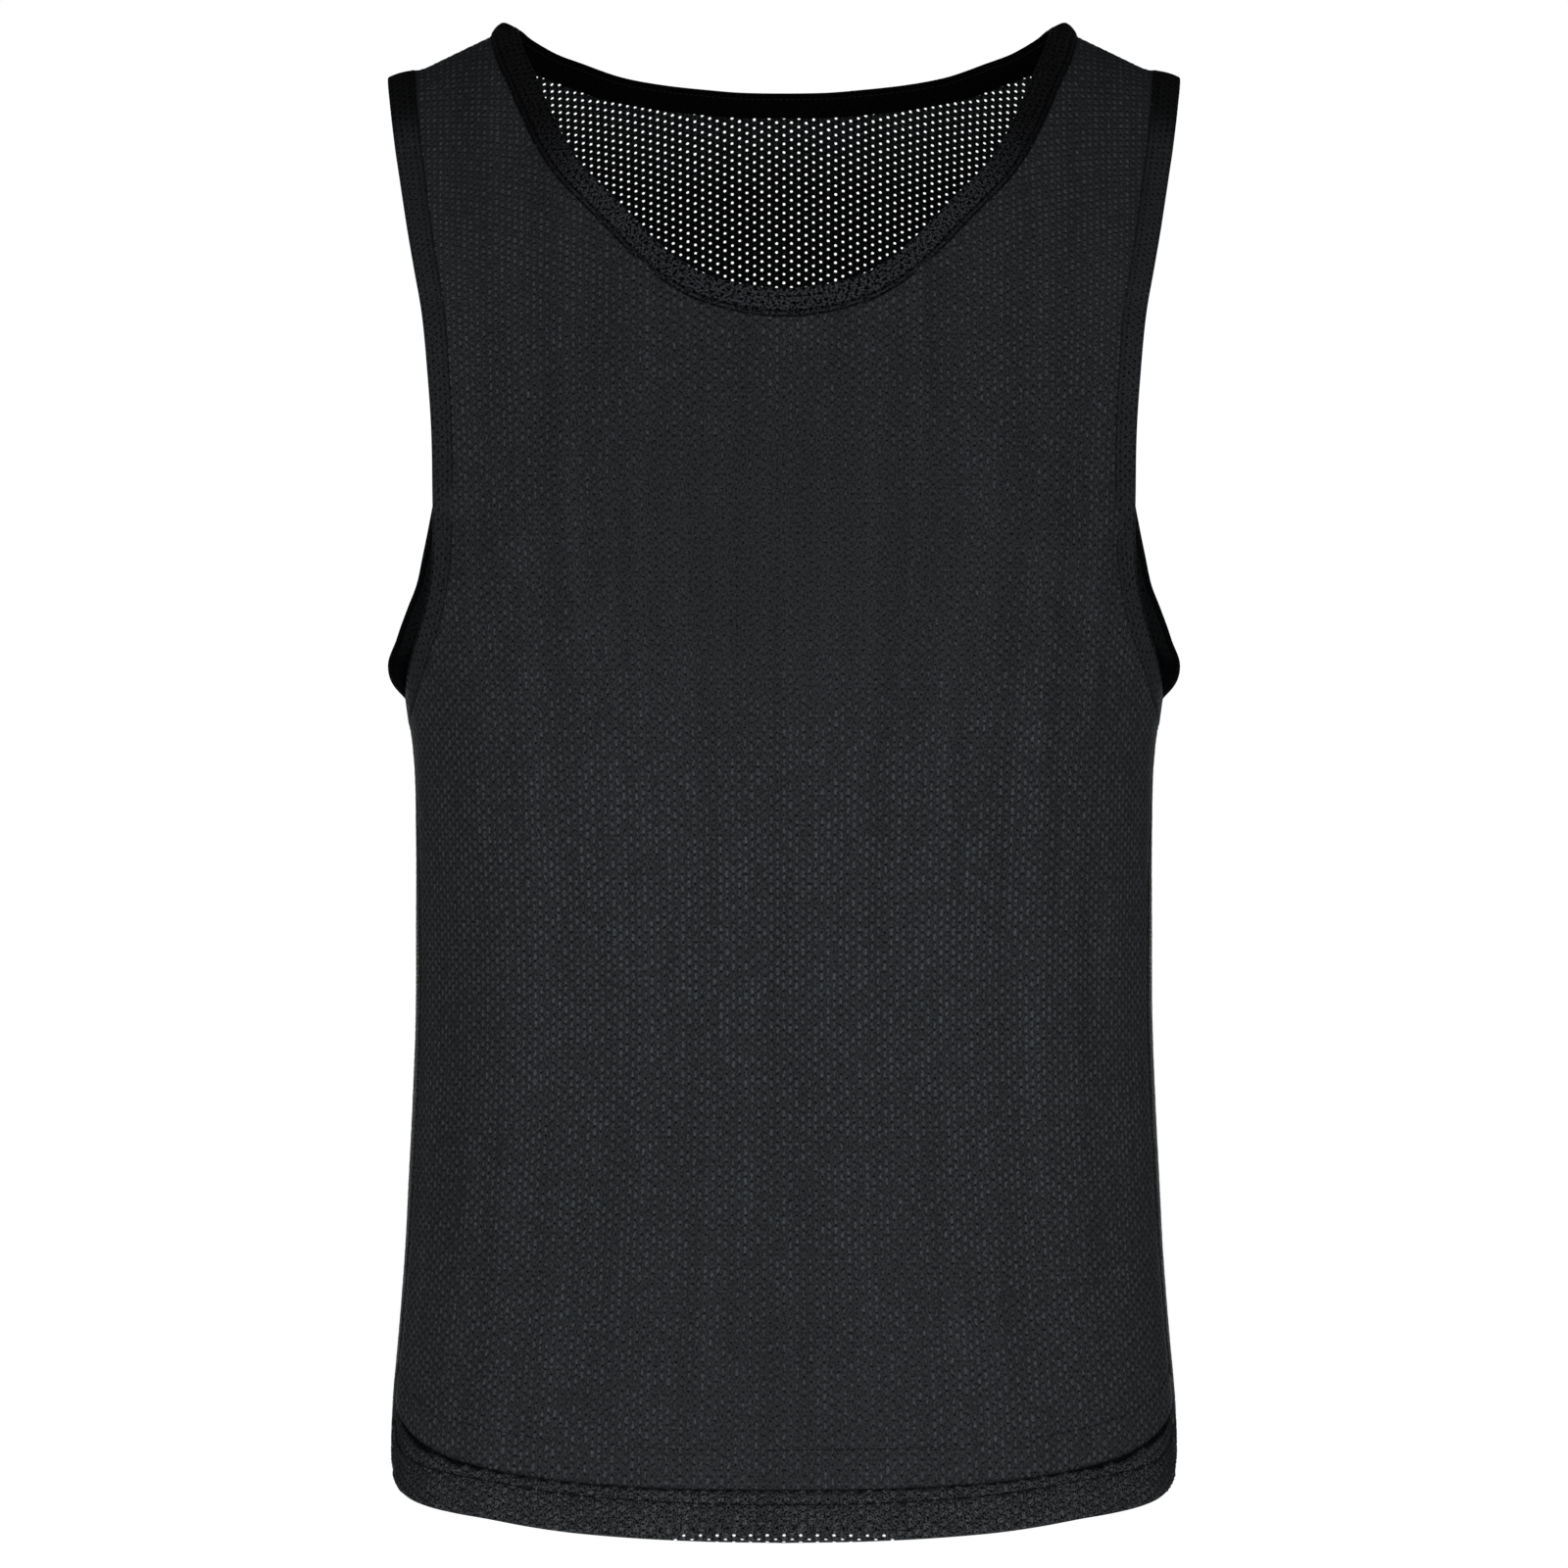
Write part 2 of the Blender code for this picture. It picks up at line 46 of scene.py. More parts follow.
SEED = 7
SIDES = ("front", "back")
HANDS = (1.0, -1.0)  # right and left of the centre line

# --- the cut and the filled-out form

NECK_BAND = 12.0  # finished width of the neck binding
ARM_BAND = 13.0  # finished width of the armhole bindings
HEM_TURN_UP = 26.0  # depth of the turned-up hem
HEM_STITCH = 18.0  # its stitches run this far above the fold
HEM_ROLL = 0.75  # radius of the fold at the hem

RING_EXPONENT = 2.3  # level sections are slightly squarer than an ellipse
SHOULDER_SLOPE = 0.506  # fall of the shoulder line per millimetre across
SHOULDER_ROUND = 50.0  # the fall starts softly within this distance of the centre
SLOPE_START_LEVEL = -170.0
FORM_STEPS = 420  # sampled steps along the form, hem to shoulder
FORM_SHARES = 130  # sampled shares across half a panel
RING_SAMPLES = 481
EDGE_SAMPLES = 400
LEAST_DEPTH = 1e-4  # keeps the shoulder line a ring
NECK_SPREAD = {"front": 0.11, "back": 0.0}  # the neck binding is wider at its centre
NECK_SPREAD_HALF = 42.0


def table(columns, rows):
    """A short table with named columns."""
    return np.array(rows, dtype=[(name, float) for name in columns.split()])


FOLD_COLUMNS = "across level half_length half_width lean height"

# Level sections of the form from below the hem up to the shoulder line
SECTIONS = table("level half_width front_depth back_depth seam_forward", [
    (-730, 180.5, 106.5, 99, 18), (-690, 180.4, 106, 98, 18), (-650, 180.4, 105, 96.5, 19),
    (-620, 179.5, 104, 94.5, 20), (-585, 176.5, 102.5, 92, 22), (-550, 173.8, 101, 89.5, 23),
    (-515, 172, 99.5, 87.5, 25), (-479, 170.2, 98.3, 86, 25), (-443, 168.9, 97.8, 85.2, 25),
    (-400, 168.7, 98, 85.4, 24), (-360, 168.7, 99.2, 87, 20), (-325, 169.6, 101.2, 89.4, 10),
    (-295, 173.3, 103, 91.6, 1), (-265, 177.4, 104.6, 93.8, 0), (-230, 178.4, 105.4, 95.8, 0),
    (-190, 181.2, 104.2, 96.8, 0), (-145, 187, 98.6, 95.4, 0), (-100, 191.4, 90.6, 90.8, 0),
    (-60, 194, 81.2, 82, 0), (-22, 195, 68.6, 69.4, 0), (8, 195, 54.6, 55.4, 0), (31, 195, 38.2, 38.8, 0),
    (47, 195, 20.4, 20.6, 0), (55.1, 195, 0, 0, 0)])

# Lower edge of each panel, from the centre line to the side seam
HEM = {
    "front": table("across level", [
        (0, -649.2), (45, -648.8), (80, -647.6), (105, -646), (125, -643.8), (145, -641), (163, -637.4),
        (180, -632.3), (196, -626), (211, -618.6)]),
    "back": table("across level", [
        (0, -694.4), (40, -693.6), (67, -692), (86, -690.2), (105, -687.8), (124, -684.4), (144, -680),
        (163, -676), (181, -671.4), (197, -666), (211, -659.4), (222, -652), (231, -642.5), (238, -632.5),
        (245, -618.6)]),
}

# Finished edge of the neckline, from the centre line to the shoulder
NECKLINE = {
    "front": table("across level", [
        (0, -114), (18, -112), (37, -105.5), (49, -96.8), (60, -84.8), (71.5, -69.2), (81.5, -55),
        (91.8, -38.5), (100.3, -19), (107.2, 2), (113.8, 24), (119.5, 41.5), (122.6, 55.1)]),
    "back": table("across level", [
        (0, -11.6), (20, -9.8), (38, -4.8), (57, 2.8), (75, 12.6), (93, 26.2), (108, 38.6), (118.5, 49.6),
        (122.6, 55.1)]),
}

# Finished edge of the armhole, from the underarm seam up to the shoulder
ARMHOLE = {
    "front": table("across level", [
        (225, -296), (212, -293.5), (203, -288), (194.5, -280.5), (185, -269.5), (176.5, -256),
        (172.3, -242), (170.6, -224), (169.8, -200), (169, -175), (169.6, -145), (171, -114), (174, -82),
        (176.6, -49), (178.7, -15), (180.4, 13.5), (181.5, 38), (182, 55.1)]),
    "back": table("across level", [
        (220.5, -296), (216.5, -292.5), (211.5, -286), (206, -280.5), (199.5, -271.5), (195, -262),
        (190.5, -252.5), (186, -243.5), (182.3, -230), (178.5, -216), (172.5, -192), (169, -165),
        (168, -135), (170, -105), (173.5, -75), (176.2, -45), (178.7, -13), (180.4, 13.5), (181.5, 38),
        (182, 55.1)]),
}

# The back panel swings outward beside the underarm
UNDERARM_FLARE = table("level outward", [
    (-296, 0), (-290, 5), (-281, 8), (-268, 6), (-250, 3.6), (-225, 1.8), (-190, 0)])
FLARE_FADE = (15.0, 75.0)

# The stiff armhole binding lifts the outer tip of the shoulder line
TIP_LIFT = 3.5
TIP_ACROSS = (163.0, 180.0)
TIP_START_LEVEL = 10.0

# Soft folds of the form, leaning from upright
FOLDS = {
    "front": table(FOLD_COLUMNS, [
        (-116, -420, 120, 26, 2, 2.4), (118, -412, 126, 27, -3, 2.5), (2, -405, 105, 46, 0, -2.2),
        (-60, -560, 90, 30, 4, 1.5), (66, -572, 82, 32, -5, 1.4), (-128, -232, 62, 15, 58, 1.5),
        (124, -226, 66, 16, -56, 1.4), (-92, -180, 60, 14, 38, 1.1), (96, -188, 56, 15, -40, 1.2)]),
    "back": table(FOLD_COLUMNS, [
        (-104, -440, 130, 28, 3, 2.6), (110, -450, 122, 27, -2, 2.5), (-4, -470, 120, 44, 1, -2.8),
        (-52, -610, 80, 26, 5, 1.7), (58, -600, 86, 28, -4, 1.6), (-112, -226, 66, 16, 50, 1.6),
        (106, -236, 62, 15, -52, 1.6)]),
}
FOLDS_FADE_SHARE = 0.86  # folds die away from this share of a panel's half-width outward


def smooth_curve(at, knots, values):
    """A smooth curve through the knots, with centred tangents, read at `at`."""
    tangents = np.gradient(values, knots)
    cell = np.clip(np.searchsorted(knots, at) - 1, 0, len(knots) - 2)
    width = knots[cell + 1] - knots[cell]
    t = np.clip((at - knots[cell]) / width, 0.0, 1.0)
    start = (1.0 + 2.0 * t) * (1.0 - t) ** 2 * values[cell]
    end = t ** 2 * (3.0 - 2.0 * t) * values[cell + 1]
    bend = t * (1.0 - t) * ((1.0 - t) * tangents[cell] - t * tangents[cell + 1])
    return start + end + bend * width


def read_table(rows, at, column):
    """A column of a table as a smooth curve over its first column, read at `at`."""
    return smooth_curve(at, rows[rows.dtype.names[0]], rows[column])


def smooth_step(value, low, high):
    t = np.clip((value - low) / (high - low), 0.0, 1.0)
    return t * t * (3.0 - 2.0 * t)


def bell(value, width):
    """1 at zero, fading out on both sides."""
    return np.exp(-(value / width) ** 2)


def chord_lengths(x, y):
    """Running length of a polyline."""
    return np.append(0.0, np.cumsum(np.hypot(np.diff(x), np.diff(y))))


def profile(side):
    """Levels and depths up the centre line, evenly spaced along the cloth; 0 is the shoulder."""
    level, depth = SECTIONS["level"], SECTIONS[side + "_depth"]
    level, depth = np.append(level, level[-2]), np.append(depth, -depth[-2])
    run = chord_lengths(level, depth)
    shoulder = run[-2]
    at = np.linspace(0.0, shoulder, FORM_STEPS)
    return at - shoulder, smooth_curve(at, run, level), smooth_curve(at, run, depth)


def half_ring(half_width, front_depth, back_depth):
    """One level section from the front centre round to the back centre."""
    angle = np.linspace(0.0, np.pi, RING_SAMPLES)
    power = 2.0 / RING_EXPONENT
    x = half_width * np.abs(np.sin(angle)) ** power
    forward = np.abs(np.cos(angle)) ** power
    y = np.where(angle < np.pi / 2.0, -front_depth * forward, back_depth * forward)
    return x, y, chord_lengths(x, y)


def fold_relief(folds, across, level):
    """Height of soft folds over the plain form."""
    relief = np.zeros(np.broadcast(across, level).shape)
    for fold in folds:
        lean = np.radians(fold["lean"])
        right = across - fold["across"]
        up = level - fold["level"]
        lengthwise = up * np.cos(lean) + right * np.sin(lean)
        sideways = right * np.cos(lean) - up * np.sin(lean)
        reach = (lengthwise / fold["half_length"]) ** 2 + (sideways / fold["half_width"]) ** 2
        relief += fold["height"] * np.exp(-reach)
    return relief


def unit(vectors):
    return vectors / np.linalg.norm(vectors, axis=-1, keepdims=True)


def surface_normals(points):
    """Unit normals of a sampled form."""
    return unit(np.cross(np.gradient(points, axis=1), np.gradient(points, axis=0)))


def build_form(side):
    """Sample the outer face of one side: rows run up the cloth, columns across it."""
    along, level, depth = profile(side)
    other = {"front": "back", "back": "front"}[side]
    depths = {side: depth, other: read_table(SECTIONS, level, other + "_depth")}
    depths = {name: np.maximum(values, LEAST_DEPTH) for name, values in depths.items()}
    half_width = read_table(SECTIONS, level, "half_width")
    seam_forward = np.maximum(read_table(SECTIONS, level, "seam_forward"), 0.0)
    shares = np.linspace(0.0, 1.0, FORM_SHARES)
    half_cut = np.zeros(FORM_STEPS)
    half = np.zeros((FORM_STEPS, FORM_SHARES, 3))
    for row in range(FORM_STEPS):
        x, y, run = half_ring(half_width[row], depths["front"][row], depths["back"][row])
        seam = np.interp(-seam_forward[row], y, run)
        start = 0.0 if side == "front" else run[-1]
        at = start + (seam - start) * shares
        half_cut[row] = abs(seam - start)
        half[row, :, 0] = np.interp(at, run, x)
        half[row, :, 1] = np.interp(at, run, y)
    slope = SHOULDER_SLOPE * smooth_step(level, SLOPE_START_LEVEL, SECTIONS["level"][-1])
    fall = np.hypot(half[:, :, 0], SHOULDER_ROUND) - SHOULDER_ROUND
    tip = smooth_step(half[:, :, 0], *TIP_ACROSS)
    tip *= smooth_step(level, TIP_START_LEVEL, SECTIONS["level"][-1])[:, None]
    half[:, :, 2] = level[:, None] - slope[:, None] * fall + TIP_LIFT * tip
    if side == "back":
        flare = read_table(UNDERARM_FLARE, level, "outward")
        from_seam = half_cut[:, None] * (1.0 - shares)
        half[:, :, 0] += flare[:, None] * (1.0 - smooth_step(from_seam, *FLARE_FADE))
    left = half[:, :0:-1] * (-1.0, 1.0, 1.0)
    points = np.hstack([left, half])
    turn = 1.0 if side == "front" else -1.0
    signed_shares = np.hstack([-shares[:0:-1], shares])
    relief = fold_relief(FOLDS[side], signed_shares * half_cut[:, None], level[:, None])
    relief *= 1.0 - smooth_step(np.abs(signed_shares), FOLDS_FADE_SHARE, 1.0)
    points = points + surface_normals(points) * turn * relief[..., None]
    normals = surface_normals(points) * turn
    normals[-1, :, 1] = 0.0  # front and back meet smoothly along the shoulder line
    return dict(along=along, level=level, half_cut=half_cut, points=points, normals=normals)


FORM = {side: build_form(side) for side in SIDES}


def along_at_level(side, level):
    return np.interp(level, FORM[side]["level"], FORM[side]["along"])


def level_at(side, along):
    return np.interp(along, FORM[side]["along"], FORM[side]["level"])


def half_cut_at(side, along):
    return np.interp(along, FORM[side]["along"], FORM[side]["half_cut"])


def place(side, across, along, lift):
    """Bend points of the flat cut onto the form, `lift` millimetres out from its face."""
    form = FORM[side]
    share = np.clip(across / half_cut_at(side, along), -1.0, 1.0)
    first, second = form["along"][:2]
    row = np.clip((along - first) / (second - first), 0.0, FORM_STEPS - 1.001)
    column = np.clip((share + 1.0) * (FORM_SHARES - 1), 0.0, 2 * FORM_SHARES - 2.001)
    i, j = row.astype(int), column.astype(int)
    u, v = (row - i)[..., None], (column - j)[..., None]

    def blend(samples):
        lower = samples[i, j] * (1.0 - v) + samples[i, j + 1] * v
        upper = samples[i + 1, j] * (1.0 - v) + samples[i + 1, j + 1] * v
        return lower * (1.0 - u) + upper * u

    return blend(form["points"]) + unit(blend(form["normals"])) * lift[..., None]


def edge_line(side, rows, from_seam):
    """A smooth finished edge from the side seam or the centre line, crossing them squarely."""
    across = rows["across"].copy()
    along = along_at_level(side, rows["level"])
    if from_seam:
        across[0] = half_cut_at(side, along[0])
    before = (2.0 * across[0] - across[1], along[1])
    after = (across[-2], 2.0 * along[-1] - along[-2])
    knots = np.array([before, *zip(across, along), after])
    run = chord_lengths(*knots.T)
    at = np.linspace(run[1], run[-2], EDGE_SAMPLES)
    return np.stack([smooth_curve(at, run, values) for values in knots.T], axis=1)


def read_line(line, run, at):
    """Points of a line in the flat cut, read where its running value is `at`."""
    return np.stack([np.interp(at, run, values) for values in line.T], axis=1)


def offset_line(line, distance):
    """The line moved sideways in the flat cut, to its right as it runs."""
    run = unit(np.gradient(line, axis=0))
    run[[0, -1]] = np.round(run[[0, -1]])
    return line + distance * np.stack([run[:, 1], -run[:, 0]], axis=1)


def neck_line(side, inset):
    """From the centre line to the shoulder, `inset` inside the finished neckline."""
    line = edge_line(side, NECKLINE[side], from_seam=False)
    spread = NECK_SPREAD[side] * bell(line[:, 0], NECK_SPREAD_HALF)
    return offset_line(line, inset * (1.0 + spread)[:, None])


def armhole_line(side, inset):
    """From the underarm seam to the shoulder, `inset` inside the finished armhole."""
    return offset_line(edge_line(side, ARMHOLE[side], from_seam=True), -inset)


def hem_along(side, across):
    return along_at_level(side, read_table(HEM[side], np.abs(across), "level"))


# --- fine creases of the cloth

# Finer than the form's folds: the bindings, the hem and the side seams gather the cloth a little
CREASES = {
    "front": table(FOLD_COLUMNS, [
        (-150, -205, 34, 6, 64, 0.7), (-142, -252, 46, 7, 52, -0.6), (-118, -282, 58, 9, 47, 0.7),
        (152, -214, 36, 6, -60, 0.7), (138, -262, 50, 8, -50, -0.6), (112, -296, 54, 9, -44, 0.6),
        (-150, -360, 70, 9, 9, 0.8), (-164, -470, 80, 10, -4, -0.8), (156, -380, 74, 10, -8, 0.8),
        (166, -490, 76, 10, 5, -0.7), (-34, -500, 96, 14, 3, 0.7), (40, -470, 88, 15, -4, 0.6),
        (-88, -600, 52, 10, 6, 0.8), (-20, -618, 40, 9, -4, 0.6), (30, -606, 48, 10, 5, -0.6),
        (96, -604, 50, 11, -6, 0.8), (-70, -118, 40, 8, 24, 0.5), (74, -124, 42, 8, -26, 0.5),
        (-146, -40, 50, 9, 4, 0.7), (148, -46, 48, 9, -5, 0.7)]),
    "back": table(FOLD_COLUMNS, [
        (-144, -212, 38, 7, 58, 0.8), (-128, -262, 52, 8, 46, -0.7), (140, -220, 38, 7, -56, 0.8),
        (124, -270, 50, 9, -44, -0.7), (-150, -400, 84, 11, 7, 1), (152, -420, 80, 11, -6, 1),
        (-178, -540, 70, 11, -5, -0.8), (180, -530, 74, 11, 4, -0.8), (-30, -360, 90, 15, 4, 0.8),
        (36, -330, 84, 15, -5, 0.8), (-98, -640, 46, 11, 6, 0.9), (4, -650, 44, 12, 0, 0.8),
        (104, -636, 48, 12, -6, 0.9), (-60, -84, 44, 10, 14, 0.6), (58, -90, 44, 10, -15, 0.6)]),
}
CREASE_QUIET = 16.0  # creases die away this close to the hem fold
CREASE_END = (0.88, 0.99)  # and between these shares of a panel's half-width


def crease_lift(side, across, along):
    """Height of the fine creases, which leave the seams and the hem fold as they are."""
    level = level_at(side, along)
    share = np.abs(across) / half_cut_at(side, along)
    quiet = 1.0 - smooth_step(share, *CREASE_END)
    quiet *= smooth_step(along - hem_along(side, across), 0.0, CREASE_QUIET)
    return fold_relief(CREASES[side], across, level) * quiet


# --- knit lattice of the panels

# Columns of holes lie the first size apart, and the holes of one column the second
CELL_SIZE = {"front": np.array([3.02, 4.34]), "back": np.array([3.36, 4.14])}
HOLE_HALF_SIZE = {"front": (0.84, 0.92), "back": (0.61, 0.68)}
KNIT_JITTER = 0.08  # loops stray by this much
KNIT_UNEVEN = (0.65, 1.25)  # and stand out unevenly
RIDGE_LIFT = 0.16  # the loops between two holes of a column stand up
PIT_DEPTH = 0.5  # floor of a closed cell
LATTICE_HALF_WIDTH = 262.0
LATTICE_TUCK = 5.0  # the panel's raw edge runs this far under a binding
LEAST_FACE = 0.03  # square millimetres
SEAM_DIP = 0.9  # panels roll inward at the side and shoulder seams
SEAM_DIP_WIDTH = 1.8
PLY_SHIFT = (0.31, 0.5)  # the turned-up ply's holes miss the outer ones by these shares
SEE_THROUGH_HALF = (54.0, 64.8)  # but near the centre of the fold both plies' holes meet
SEE_THROUGH_HEIGHT = (3.9, 7.8)
FOLD_REACH = 5.0  # the fold draws the holes wide and low up to this height
FOLD_WIDER = 0.12
FOLD_LOWER = 0.5
FOLD_ROW = 0.55  # and its first row of holes lies this far above it
HEM_GROOVE = 0.4  # the hem's stitches pull its plies together
HEM_GROOVE_HALF = 1.6
HEM_SIDE_RISE = 14.0  # the turned-up ply's raw edge rises at the side seams
HEM_SIDE = (120.0, 205.0)
FOLD_LINE = (0.2, 0.9)  # painted shadow: the front hem's fold is darkened up to here
# Darkest painted shadow, along the front hem's fold and under it on the back hem's inside
DARKEST = 0.06
MESH_SHADE = 0.55  # painted shade: the back's single ply is darkened so its inside looks unlit, and its outside darkens with it
STITCH_SHADE = 0.35  # and painted shade draws a dark line in the groove of the hem's stitches
STITCH_HALF = 0.5

# Painted shadow of the front hem on the inside of the back hem starts this far above its fold
HEM_SHADOW_START = table("across height", [
    (0, 24), (60, 23.4), (100, 22.9), (140, 22.3), (160, 22.3), (180, 24.6), (200, 27.8), (212, 28.7),
    (220, 28.2), (226, 26.5), (245, 26)])
HEM_SHADOW_START_SOFT = (-0.3, 0.5)

# Doubled cloth beside a seam closes the holes
SEAM_ALLOWANCE = table("level wide", [
    (-730, 9), (-440, 9), (-415, 4), (-380, 4), (-350, 10), (-320, 30), (-280, 60), (-235, 60), (-190, 9),
    (60, 9)])

# On the chest and the lower centre the front's knit reads flatter: less painted shade in its pits, less
# painted highlight on its ridges
FLAT_KNIT = table(FOLD_COLUMNS, [
    (0, -236, 78, 125, 0, 0.4), (0, -620, 130, 110, 0, 0.2), (0, -60, 170, 260, 0, 0.1)])

# How much wider the columns lie, by level
STRETCH = {
    "front": table("level wider", [
        (-730, 1.03), (-640, 1.02), (-540, 0.96), (-440, 0.93), (-340, 0.95), (-220, 1), (60, 1)]),
    "back": table("level wider", [
        (-730, 1.19), (-680, 1.17), (-600, 1.07), (-450, 0.96), (-320, 0.98), (-200, 1.02), (60, 1.04)]),
}

# Corners of a cell: across and along from the hole's centre in shares of the hole, and the
# height of the knit there, from -1 on the floor of a closed hole to 1 on a ridge
CELLS = {
    "front": table("across along height", [
        (0, 1, 1), (1, 0, 0), (0, -1, 1), (-1, 0, 0), (0, 0, -1)]),
    "back": table("across along height", [
        (0, 1, 1), (1, 0.5, 0.2), (1, -0.5, 0.2), (0, -1, 1), (-1, -0.5, 0.2), (-1, 0.5, 0.2),
        (0, 0, -1)]),
}

# Faces of the knit between the holes. A corner is named by its cell, which is the cell itself, "o",
# or a neighbour, and its number
WEB_FACES = {
    "front": ["o1 ne2 ne3 o0", "o1 o2 se3 se0", "o0 ne3 n2", "o1 se0 ne2"],
    "back": ["o1 ne3 ne4 o0", "o2 o3 se5 se0", "o0 ne4 ne5 n3", "o2 se0 ne3 o1"],
}


def lattice(side, random):
    """All cells that cover a panel's flat cut.

    Returns the corners' places and heights, the knit's faces, and the floors of the holes, whose
    first corner is the centre.
    """
    cell = CELLS[side]
    wale, course = CELL_SIZE[side]
    reach = int(LATTICE_HALF_WIDTH / wale)
    columns = np.arange(-reach, reach + 1)
    lowest = hem_along(side, np.zeros(1))[0]
    rows = np.arange(-2, int(-lowest / course) + 3)
    column, row = np.meshgrid(columns, rows, indexing="ij")
    across = column * wale
    along = lowest + (row + 0.5 * (column % 2)) * course
    half_width, half_height = HOLE_HALF_SIZE[side]
    half_width = half_width * (1.0 + FOLD_WIDER * bell(along - lowest, FOLD_REACH)[..., None])
    corner_across = across[..., None] + cell["across"] * half_width
    corner_along = along[..., None] + cell["along"] * half_height
    above_fold = corner_along - lowest
    corner_along += FOLD_ROW - FOLD_LOWER * above_fold * bell(above_fold, FOLD_REACH)
    flat = np.stack([corner_across, corner_along], axis=-1)
    flat += random.uniform(-KNIT_JITTER, KNIT_JITTER, flat.shape)
    heights = cell["height"] * random.uniform(*KNIT_UNEVEN, flat.shape[:-1])
    index = np.arange(heights.size).reshape(heights.shape)
    odd = (columns[:-1] % 2 == 1)[:, None, None]
    right = index[1:]
    cells = {
        "o": index[:-1, 1:-1],
        "n": index[:-1, 2:],
        "ne": np.where(odd, right[:, 2:], right[:, 1:-1]),
        "se": np.where(odd, right[:, 1:-1], right[:, :-2]),
    }

    def gathered(face):
        face = [cells[corner[:-1]][..., int(corner[-1])] for corner in face.split()]
        return np.stack(face, axis=-1).reshape(-1, len(face))

    centre = len(cell) - 1
    rim = [f"o{centre} o{(corner + 1) % centre} o{corner}" for corner in range(centre)]
    web = [gathered(face) for face in WEB_FACES[side]]
    floors = [gathered(face) for face in rim]
    return flat.reshape(-1, 2), heights.reshape(-1), web, floors


def stretched(side, across, along):
    """Columns draw together at the waist and spread at the hem."""
    return across * read_table(STRETCH[side], level_at(side, along), "wider")


def cut_limits(side, along, neck_inset, arm_inset, at_centre, at_seam):
    """How far from the centre line a panel starts and ends, also below neck and armhole."""
    lines = ((neck_line(side, neck_inset), at_centre), (armhole_line(side, arm_inset), at_seam))
    return [np.where(along > line[0, 1], np.interp(along, line[:, 1], line[:, 0]), beyond)
            for line, beyond in lines]


def inside_bindings(side, across, along):
    """True where the panel's own cloth runs, up to its raw edge under the bindings."""
    inner, outer = cut_limits(side, along, NECK_BAND - LATTICE_TUCK, ARM_BAND - LATTICE_TUCK,
                              -1.0, np.inf)
    return (np.abs(across) < outer) & (np.abs(across) > inner)


def face_areas(points, face):
    """Areas of flat faces with 3 or 4 corners."""
    x, y = points[face][..., 0], points[face][..., 1]
    return 0.5 * np.abs(np.sum(x * np.roll(y, -1, axis=1) - np.roll(x, -1, axis=1) * y, axis=1))


def holes_closed(side, outer, across, along, height, from_seam):
    """True where the knit's holes get a floor: on the back where other cloth closes them, on the front
    everywhere.
    """
    # The front's floors carry painted shade in place of the dark inside seen through open holes
    if side == "front":
        return np.ones(len(across), bool)
    if outer:
        return from_seam < read_table(SEAM_ALLOWANCE, level_at(side, along), "wide")
    return (height > SEE_THROUGH_HEIGHT[0]) | (np.abs(across) > SEE_THROUGH_HALF[0])


def panel_shade(side, outer, across, height):
    """Painted shade: how much of its colour the cloth keeps at a height above the hem fold."""
    if side == "front":
        # painted shadow along the front hem's fold
        return DARKEST + (1.0 - DARKEST) * smooth_step(height, *FOLD_LINE)
    # painted shade over the whole of the back's single ply
    if outer:
        return np.full(len(height), MESH_SHADE)
    # painted shadow under the front hem, on the inside of the back hem
    hem_shadow_start = read_table(HEM_SHADOW_START, np.abs(across), "height")
    shade = 1.0 - (1.0 - DARKEST) * smooth_step(height - hem_shadow_start, *HEM_SHADOW_START_SOFT)
    # painted shade along the groove of the hem's stitches
    return shade * (1.0 - (1.0 - STITCH_SHADE) * bell(height - HEM_STITCH, STITCH_HALF))


